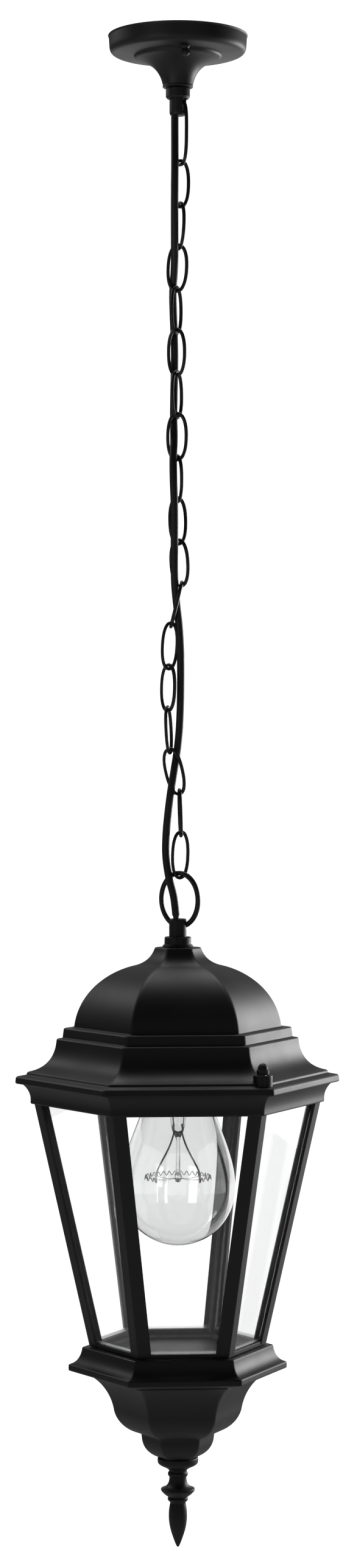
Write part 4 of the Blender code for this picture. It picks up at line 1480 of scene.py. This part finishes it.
@dataclass
class Cage:
    """The glazing cage: cornice, six ribbed posts, foot ring, studs and panes."""

    lantern: LanternPlan
    dresser: Dresser
    post_top: Point2 = (81.6, -15.4)
    post_foot: Point2 = (50.6, -152.6)
    flange: float = 7.5
    wall: float = 2.0
    web_depth: float = 8.8
    web: float = 2.0

    def cornice(self) -> None:
        """The hollow moulding under the rim."""
        outline = [(88.6, -4.2)]
        outline += curve(outline[0], (86.6, -5.6), (84.2, -8.4), (83.9, -12.4), 12)[1:]
        outline += [(83.9, -14.9), (83.4, -15.4), (77.5, -15.4), (77.5, -9.0), (79.0, -4.2)]
        outline = eased(self.lantern.raised(outline), Edge.CAST.value, 3)
        ring = hexagonal("cornice", outline, self.lantern.turn, 1.2)
        self.dresser.place(ring, "cage", "black_powder_coat", "black_powder_coat", "cage_frame")
        foot = self.lantern.raised([(50.4, -151.0), (50.2, -153.4), (43.8, -153.4), (43.8, -151.0)])
        ring = hexagonal("foot_ring", eased(foot, Edge.CRISP.value, 2), self.lantern.turn, 0.8)
        self.dresser.place(ring, "cage", "black_powder_coat", "black_powder_coat")

    def section(self, radius: float, height: float) -> Line3:
        """A ribbed post's section at one height, for the corner on +X.

        Args:
            radius: Corner radius there.
            height: Its height.

        Returns:
            The section's outline.
        """
        bend = math.radians(120)
        corner = Vector((radius, 0))
        root = radius - self.wall / math.cos(math.pi / 6) - self.web / 2 * math.tan(math.pi / 6)
        arms = []
        for side in (1, -1):
            way = Vector((math.cos(side * bend), math.sin(side * bend)))
            square = side * (bend + math.pi / 2)
            inward = Vector((math.cos(square), math.sin(square)))
            end = corner + way * self.flange
            rib = side * self.web / 2
            inner = [Vector((root, rib)), Vector((radius - self.web_depth, rib))]
            arms.append([end, end + inward * self.wall, *inner])
        sharp = [tuple(p) for p in (corner, *arms[0], *arms[1][::-1])]
        return [Vector((x, y, height + self.lantern.rim)) for x, y in eased(sharp, 0.55, 3)]

    def posts(self) -> None:
        """One ribbed post, repeated at the six corners."""
        lift = 1.8
        rings = []
        for share in (0.0, 0.01, 0.33, 0.66, 0.99, 1.0):
            radius = self.post_top[0] + 0.4 + (self.post_foot[0] - self.post_top[0] - 0.4) * share
            height = self.post_top[1] + lift + (self.post_foot[1] - self.post_top[1] - lift) * share
            rings.append(self.section(radius, height))
        seed = to_object("post", skin(rings, True, False))
        piece = grow("corner_posts", round_tree(), {"Count": 6, "First turn": self.lantern.turn}, seed.data)
        piece.data.set_sharp_from_angle(angle=math.radians(35))
        bpy.data.objects.remove(seed, do_unlink=True)
        self.dresser.place(piece, "cage", "black_powder_coat", "black_powder_coat")

    def studs(self) -> None:
        """The two studs that pass up through the roof."""
        rim = self.lantern.rim
        for number, place in enumerate(self.lantern.studs(), 1):
            outline = [(0, rim - 8), (1.7, rim - 8), (1.7, rim + 11.6), (1.3, rim + 12.0), (0, rim + 12.0)]
            outline = eased(outline, Edge.CRISP.value, 2, False)
            piece = lathe(f"roof_stud_{number}", outline, 24, place.xy[:])
            self.dresser.place(piece, "cage", "zinc_plated_steel", "zinc_plated_steel")
            thread = grow(f"roof_stud_thread_{number}", helix_tree(), {
                "Turns": 20.0, "Radius": 1.62 * MM, "Rise": 15.0 * MM, "Wire": 0.24 * MM, "Steps": 20,
                "Base": (place.x * MM, place.y * MM, (rim - 3.6) * MM)})
            self.dresser.place(thread, "cage", "zinc_plated_steel", "zinc_plated_steel")

    def build(self) -> None:
        """Make the cage and dress its panes."""
        self.cornice()
        self.posts()
        self.studs()
        for number in range(1, 7):
            self.dresser.dress_node(f"pane_{number}", "clear_glass")


@dataclass
class Base:
    """The tray under the panes, the bowl below it and the turned finial."""

    lantern: LanternPlan
    dresser: Dresser

    def tray(self) -> None:
        """The tray with its hollow flare and lip."""
        outline = [(0.0, -156.0), (42.8, -156.0), (43.4, -153.8), (54.2, -153.8), (54.7, -154.3)]
        outline += curve(outline[-1], (55.3, -158.8), (57.6, -162.6), (61.9, -163.5), 14)[1:]
        outline += [(62.5, -164.0), (62.5, -166.7), (62.1, -167.2), (50.6, -170.1), (48.6, -168.4),
                    (49.6, -161.0), (46.0, -158.8), (7.6, -158.8), (7.6, -171.5), (4.1, -171.5),
                    (4.1, -160.4), (0.0, -160.0)]
        eased_outline = eased(self.lantern.raised(outline), Edge.CAST.value, 3, False)
        rings = [hex_ring(max(r, 0.02), z, self.lantern.turn, 1.6) for r, z in eased_outline]
        piece = to_object("tray_casting", skin(rings, True, False))
        self.dresser.place(piece, "cage", "black_powder_coat", "black_powder_coat", "tray")

    def bowl(self) -> None:
        """The two-stage bowl."""
        outline = [(49.9, -170.5)]
        outline += curve(outline[-1], (43.0, -174.4), (38.2, -182.0), (36.9, -189.5), 18)[1:]
        outline += curve(outline[-1], (35.9, -195.4), (30.6, -201.6), (22.3, -203.3), 16)[1:]
        outline += [(21.2, -203.8), (21.0, -205.3)]
        outline += curve(outline[-1], (20.7, -211.0), (17.6, -214.9), (11.9, -217.0), 14)[1:]
        outline += [(4.1, -217.0), (4.1, -214.6), (10.6, -214.6), (17.9, -209.0), (18.6, -202.6)]
        outline += [(28.0, -199.6), (33.4, -193.0), (34.6, -188.0), (38.4, -177.8), (47.2, -170.5)]
        outline = eased(self.lantern.raised(outline), Edge.CAST.value, 3)
        piece = hexagonal("bowl_casting", outline, self.lantern.turn, 2.2)
        self.dresser.place(piece, "cage", "black_powder_coat", "black_powder_coat", "bowl")

    def finial(self) -> None:
        """The turned finial: disc, neck, bead, vase and leaf point."""
        outline = [(0, -161.2), (3.0, -161.2), (3.0, -217.2), (11.3, -217.2), (11.6, -217.8)]
        outline += [(11.6, -219.6)]
        outline += curve(outline[-1], (11.5, -221.6), (9.0, -222.0), (6.6, -223.4), 8)[1:]
        outline += curve(outline[-1], (5.4, -224.2), (5.0, -224.6), (5.0, -225.3), 4)[1:]
        outline += curve(outline[-1], (6.0, -226.0), (6.0, -227.6), (4.9, -228.4), 8)[1:]
        outline += curve(outline[-1], (4.8, -231.5), (5.8, -234.2), (9.4, -235.0), 12)[1:]
        outline += [(9.7, -235.4), (9.6, -236.2)]
        outline += curve(outline[-1], (8.2, -238.2), (6.6, -239.2), (5.3, -240.0), 8)[1:]
        outline += curve(outline[-1], (6.1, -240.5), (6.1, -241.9), (4.9, -242.5), 6)[1:]
        outline += curve(outline[-1], (4.3, -242.9), (4.4, -243.6), (4.6, -244.2), 4)[1:]
        outline += curve(outline[-1], (5.6, -249.0), (5.5, -254.0), (4.0, -259.4), 12)[1:]
        outline += curve(outline[-1], (3.1, -262.4), (1.6, -266.6), (0.6, -268.4), 8)[1:]
        outline += [(0, -268.6)]
        piece = lathe("turned_finial", eased(self.lantern.raised(outline), Edge.CRISP.value, 3, False), 64)
        self.dresser.place(piece, "cage", "black_powder_coat", "black_powder_coat", "finial")

    def build(self) -> None:
        """Make the base group."""
        self.tray()
        self.bowl()
        self.finial()


@dataclass
class Lamp:
    """The clear lamp: envelope, screw cap, glass stem, leads and coiled filament."""

    lantern: LanternPlan
    dresser: Dresser
    glass_wall: float = 0.6
    filament_radius: float = 18.4
    filament_height: float = -57.6

    def envelope(self) -> None:
        """The blown envelope with its thin wall."""
        outer = curve((0.0, -96.3), (19.0, -96.3), (32.6, -80.5), (32.6, -63.5), 22)
        outer += curve(outer[-1], (32.6, -46.0), (23.5, -30.0), (19.5, -15.5), 20)[1:]
        outer += curve(outer[-1], (16.5, -7.5), (12.4, -5.0), (12.2, -1.0), 8)[1:]
        outer += [(12.2, 3.5)]
        wall = self.glass_wall
        inner = [(12.2 - wall, 3.5), (12.2 - wall, -1.0)]
        inner += curve(inner[-1], (12.0 - wall, -5.2), (16.2 - wall, -8.0), (19.3 - wall, -15.6), 8)[1:]
        inner += curve(inner[-1], (23.4 - wall, -30.0), (32.6 - wall, -46.0), (32.6 - wall, -63.5), 20)[1:]
        inner += curve(inner[-1], (32.6 - wall, -80.2), (18.8, -96.3 + wall), (0.0, -96.3 + wall), 22)[1:]
        piece = lathe("blown_envelope", self.lantern.raised(outer + inner), 96)
        self.dresser.place(piece, "lamp", "lamp_glass", "clear_glass", "bulb_glass")

    def cap(self) -> None:
        """The screw cap with a true rolled thread, its insulator and tip."""
        shell = [(12.55, -0.6), (13.0, -0.6), (13.1, 0.4), (13.1, 18.2), (12.4, 19.6), (9.4, 21.2)]
        shell += [(9.0, 20.4), (12.1, 17.6), (12.55, 16.0)]
        piece = lathe("lamp_cap", eased(self.lantern.raised(shell), Edge.CRISP.value, 2), 56)
        self.dresser.place(piece, "lamp", "nickel_brass", "nickel_brass", "bulb_cap")
        thread = grow("lamp_cap_thread", helix_tree(), {
            "Turns": 3.6, "Radius": 12.75 * MM, "Rise": 13.0 * MM, "Wire": 0.62 * MM, "Steps": 56,
            "Base": (0.0, 0.0, (self.lantern.rim + 3.0) * MM)})
        self.dresser.place(thread, "lamp", "nickel_brass", "nickel_brass")
        insulator = [(9.2, 20.6), (9.5, 21.3), (8.4, 23.4), (5.0, 24.6), (4.4, 24.0), (4.4, 20.6)]
        piece = lathe("lamp_insulator", eased(self.lantern.raised(insulator), Edge.CRISP.value, 2), 48)
        self.dresser.place(piece, "lamp", "blackened_brass", "blackened_brass")
        tip = [(0.0, 22.0), (4.2, 22.0), (4.3, 24.8), (3.2, 25.8), (1.5, 26.2), (0.0, 26.2)]
        piece = lathe("lamp_tip", eased(self.lantern.raised(tip), Edge.CRISP.value, 2, False), 32)
        self.dresser.place(piece, "lamp", "nickel_brass", "nickel_brass")

    def mount(self) -> None:
        """The glass stem: flare, pinch, rod and button."""
        outline = [(0.0, 2.8), (11.2, 2.8)]
        outline += curve(outline[-1], (9.0, -2.0), (5.2, -4.0), (4.9, -14.0), 10)[1:]
        outline += curve(outline[-1], (4.8, -22.0), (4.4, -27.0), (3.2, -31.4), 8)[1:]
        outline += curve(outline[-1], (2.2, -33.8), (1.4, -34.0), (1.3, -37.0), 6)[1:]
        outline += [(1.25, -54.0)]
        outline += curve(outline[-1], (1.3, -55.6), (2.3, -56.2), (2.3, -57.8), 6)[1:]
        outline += curve(outline[-1], (2.3, -59.6), (1.2, -60.6), (0.0, -60.6), 6)[1:]
        piece = lathe("glass_stem", self.lantern.raised(outline), 40)
        self.dresser.place(piece, "lamp", "lamp_glass", "clear_glass", "bulb_mount")

    def wire(self, name: str, route: Sequence[tuple], radius: float, *nodes: str) -> None:
        """One fine wire.

        Args:
            name: The piece's name.
            route: Its route, with heights counted from the rim.
            radius: Its radius.
            nodes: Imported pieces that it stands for.
        """
        points = [(x, y, z + self.lantern.rim) for x, y, z in route]
        piece = tube(name, smooth_line(points, 6), lambda run: radius, 8)
        self.dresser.place(piece, "lamp", "tungsten_wire", "tungsten_wire", *nodes)

    @staticmethod
    def spot(angle: float, size: float) -> Point2:
        """A point at an angle and a distance from the axis."""
        return size * math.cos(angle), size * math.sin(angle)

    def filament(self) -> None:
        """The leads, the fine supports from the button and the filament, wound in small waves."""
        level, radius = self.filament_height, self.filament_radius
        first, last = math.radians(-48), math.radians(228)
        for side, angle in ((1, first), (-1, last)):
            x, y = self.spot(angle, radius)
            route = [(side * 1.6, 0.0, -27.0), (side * 2.6, -0.6, -33.5), (side * 5.4, -4.6, -41.0),
                     (x * 0.95, y * 0.94, level + 5.0), (x, y, level - 1.6)]
            self.wire(f"lead_{'right' if side > 0 else 'left'}", route, 0.5)
        waves = 26
        route = []
        for number in range(waves * 2 + 1):
            angle = first + (last - first) * number / (waves * 2)
            swing = 1.15 if number % 2 else -1.15
            size = radius + 0.5 * math.cos(number * math.pi / 2)
            route.append((*self.spot(angle, size), level + swing))
        self.wire("wound_filament", route, 0.24, "bulb_filament")
        for number in range(5):
            angle = first + (last - first) * (number + 0.5) / 5
            route = [(*self.spot(angle, 1.6), level - 0.6), (*self.spot(angle, 8.0), level - 1.4),
                     (*self.spot(angle, radius - 0.6), level)]
            self.wire(f"filament_support_{number + 1}", route, 0.14)

    def build(self) -> None:
        """Make the lamp."""
        self.envelope()
        self.cap()
        self.mount()
        self.filament()


@dataclass
class Studio:
    """The pale backdrop and floor, the soft lights and the camera."""

    dresser: Dresser
    distance: float = 1.85
    aside: float = 0.00035
    height: float = -0.4074
    nod: float = 0.0093
    lens: float = 74.73
    room_glow: float = 0.03
    paper_glow: float = 1.22

    def camera(self) -> None:
        """A level, distant view of the whole lantern."""
        data = bpy.data.cameras.new("camera")
        data.sensor_fit, data.sensor_width, data.lens = "AUTO", 36.0, self.lens
        data.clip_start, data.clip_end = 0.05, 60.0
        camera = bpy.data.objects.new("camera", data)
        camera.location = (self.aside, -self.distance, self.height)
        camera.rotation_euler = (math.pi / 2 - self.nod, 0.0, 0.0)
        bpy.context.collection.objects.link(camera)
        bpy.context.scene.camera = camera

    def softbox(
        self, name: str, place: tuple, aim: tuple, size: Point2, power: float, spread: float = 180.0
    ) -> bpy.types.Object:
        """One soft rectangular light.

        Args:
            name: The light's name.
            place: Where it stands, in metres.
            aim: The point it faces.
            size: Its width and height.
            power: Its power in watts.
            spread: How wide its beam opens, in degrees.

        Returns:
            The light.
        """
        data = bpy.data.lights.new(name, "AREA")
        data.shape, data.size, data.size_y, data.energy = "RECTANGLE", size[0], size[1], power
        data.spread = math.radians(spread)
        light = bpy.data.objects.new(name, data)
        light.location = place
        light.rotation_euler = (Vector(aim) - Vector(place)).to_track_quat("-Z", "Y").to_euler()
        light.visible_camera = False
        bpy.context.collection.objects.link(light)
        return light

    def room(self) -> None:
        """A dim room that looks like pale paper where it is seen plainly or straight through glass."""
        world = bpy.data.worlds.new("pale_room")
        world.use_nodes = True
        nodes, links = world.node_tree.nodes, world.node_tree.links
        path = nodes.new("ShaderNodeLightPath")
        seen = nodes.new("ShaderNodeMath")
        seen.operation = "MAXIMUM"
        links.new(path.outputs["Is Camera Ray"], seen.inputs[0])
        links.new(path.outputs["Is Transmission Ray"], seen.inputs[1])
        glow = nodes.new("ShaderNodeMapRange")
        glow.inputs["To Min"].default_value = self.room_glow
        glow.inputs["To Max"].default_value = self.paper_glow
        links.new(seen.outputs[0], glow.inputs["Value"])
        links.new(glow.outputs[0], nodes["Background"].inputs["Strength"])
        nodes["Background"].inputs["Color"].default_value = (1.0, 1.0, 1.0, 1.0)
        bpy.context.scene.world = world

    def glass(self, name: str, only: bool) -> bpy.types.Collection:
        """The glass pieces as a set of receivers.

        Args:
            name: The set's name.
            only: True to light only the glass, False to light everything else.

        Returns:
            The set.
        """
        pieces = [bpy.data.objects["blown_envelope"], bpy.data.objects["glass_stem"]]
        pieces += [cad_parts[f"pane_{number}"] for number in range(1, 7)]
        receivers = bpy.data.collections.new(name)
        for piece in pieces:
            receivers.objects.link(piece)
        for entry in receivers.collection_objects:
            entry.light_linking.link_state = "INCLUDE" if only else "EXCLUDE"
        return receivers

    def windows(self) -> None:
        """The soft windows on the metal, and two tall ones that only the glass mirrors."""
        window = self.softbox("right_rear_window", (1.3, 1.05, -0.4), (0, 0, -0.62), (0.8, 0.62), 21.0)
        window.light_linking.receiver_collection = self.glass("all_but_glass", False)
        self.softbox("overhead", (0.1, 1.0, 1.6), (0, 0, -0.6), (1.6, 1.2), 26.0)
        self.softbox("left_rear_window", (-1.8, 1.1, 0.85), (0, 0, -0.6), (0.8, 0.8), 10.0)
        self.softbox("left_window", (-1.5, -1.6, -0.1), (0, 0, -0.7), (0.4, 0.55), 1.5)
        self.softbox("front_window", (0.9, -1.9, -0.1), (0, 0, -0.7), (0.35, 0.55), 1.0)
        self.softbox("canopy_fill", (-1.0, -1.3, -0.5), (0, 0, 0.0), (0.5, 0.5), 0.12, 34.0)
        for side in (-1, 1):
            place = (side * 1.0, -1.6, -0.95)
            pane = self.softbox(f"lamp_window_{side}", place, (0, 0, -0.65), (0.7, 1.0), 16.0)
            pane.light_linking.receiver_collection = self.glass(f"glass_only_{side}", True)

    def ground(self) -> None:
        """The floor and the backdrop."""
        floor = prism([Vector(p) for p in ((-6000, -6000, -1640), (6000, -6000, -1640), (6000, 6000, -1640),
                                           (-6000, 6000, -1640))], Vector((0, 0, -20)))
        wall = prism([Vector(p) for p in ((-900, 2600, -1700), (4200, 2600, -1700), (4200, 2620, -1700),
                                          (-900, 2620, -1700))], Vector((0, 0, 1650)))
        for name, shape, finish in (("floor", floor, "pale_floor"), ("backdrop", wall, "pale_backdrop")):
            self.dresser.dress(to_object(name, shape), finish)

    def build(self) -> None:
        """Light the scene and set its ground."""
        self.room()
        self.windows()
        self.ground()
        bpy.context.scene.view_settings.view_transform = "Standard"


def main() -> None:
    """Build every sub-assembly in order."""
    logging.basicConfig(level=logging.INFO, format="%(name)s: %(message)s")
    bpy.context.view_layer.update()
    dresser = Dresser()
    plan = ChainPlan()
    lantern = LanternPlan(plan)
    studio = Studio(dresser)
    studio.camera()
    for group in (
        Cable(plan, dresser), Canopy(plan, dresser), Chain(plan, dresser), Roof(lantern, dresser),
        Cage(lantern, dresser), Base(lantern, dresser), Lamp(lantern, dresser), studio,
    ):
        LOG.info("building %s", type(group).__name__)
        group.build()
    bpy.context.view_layer.update()


if __name__ == "__main__":
    main()
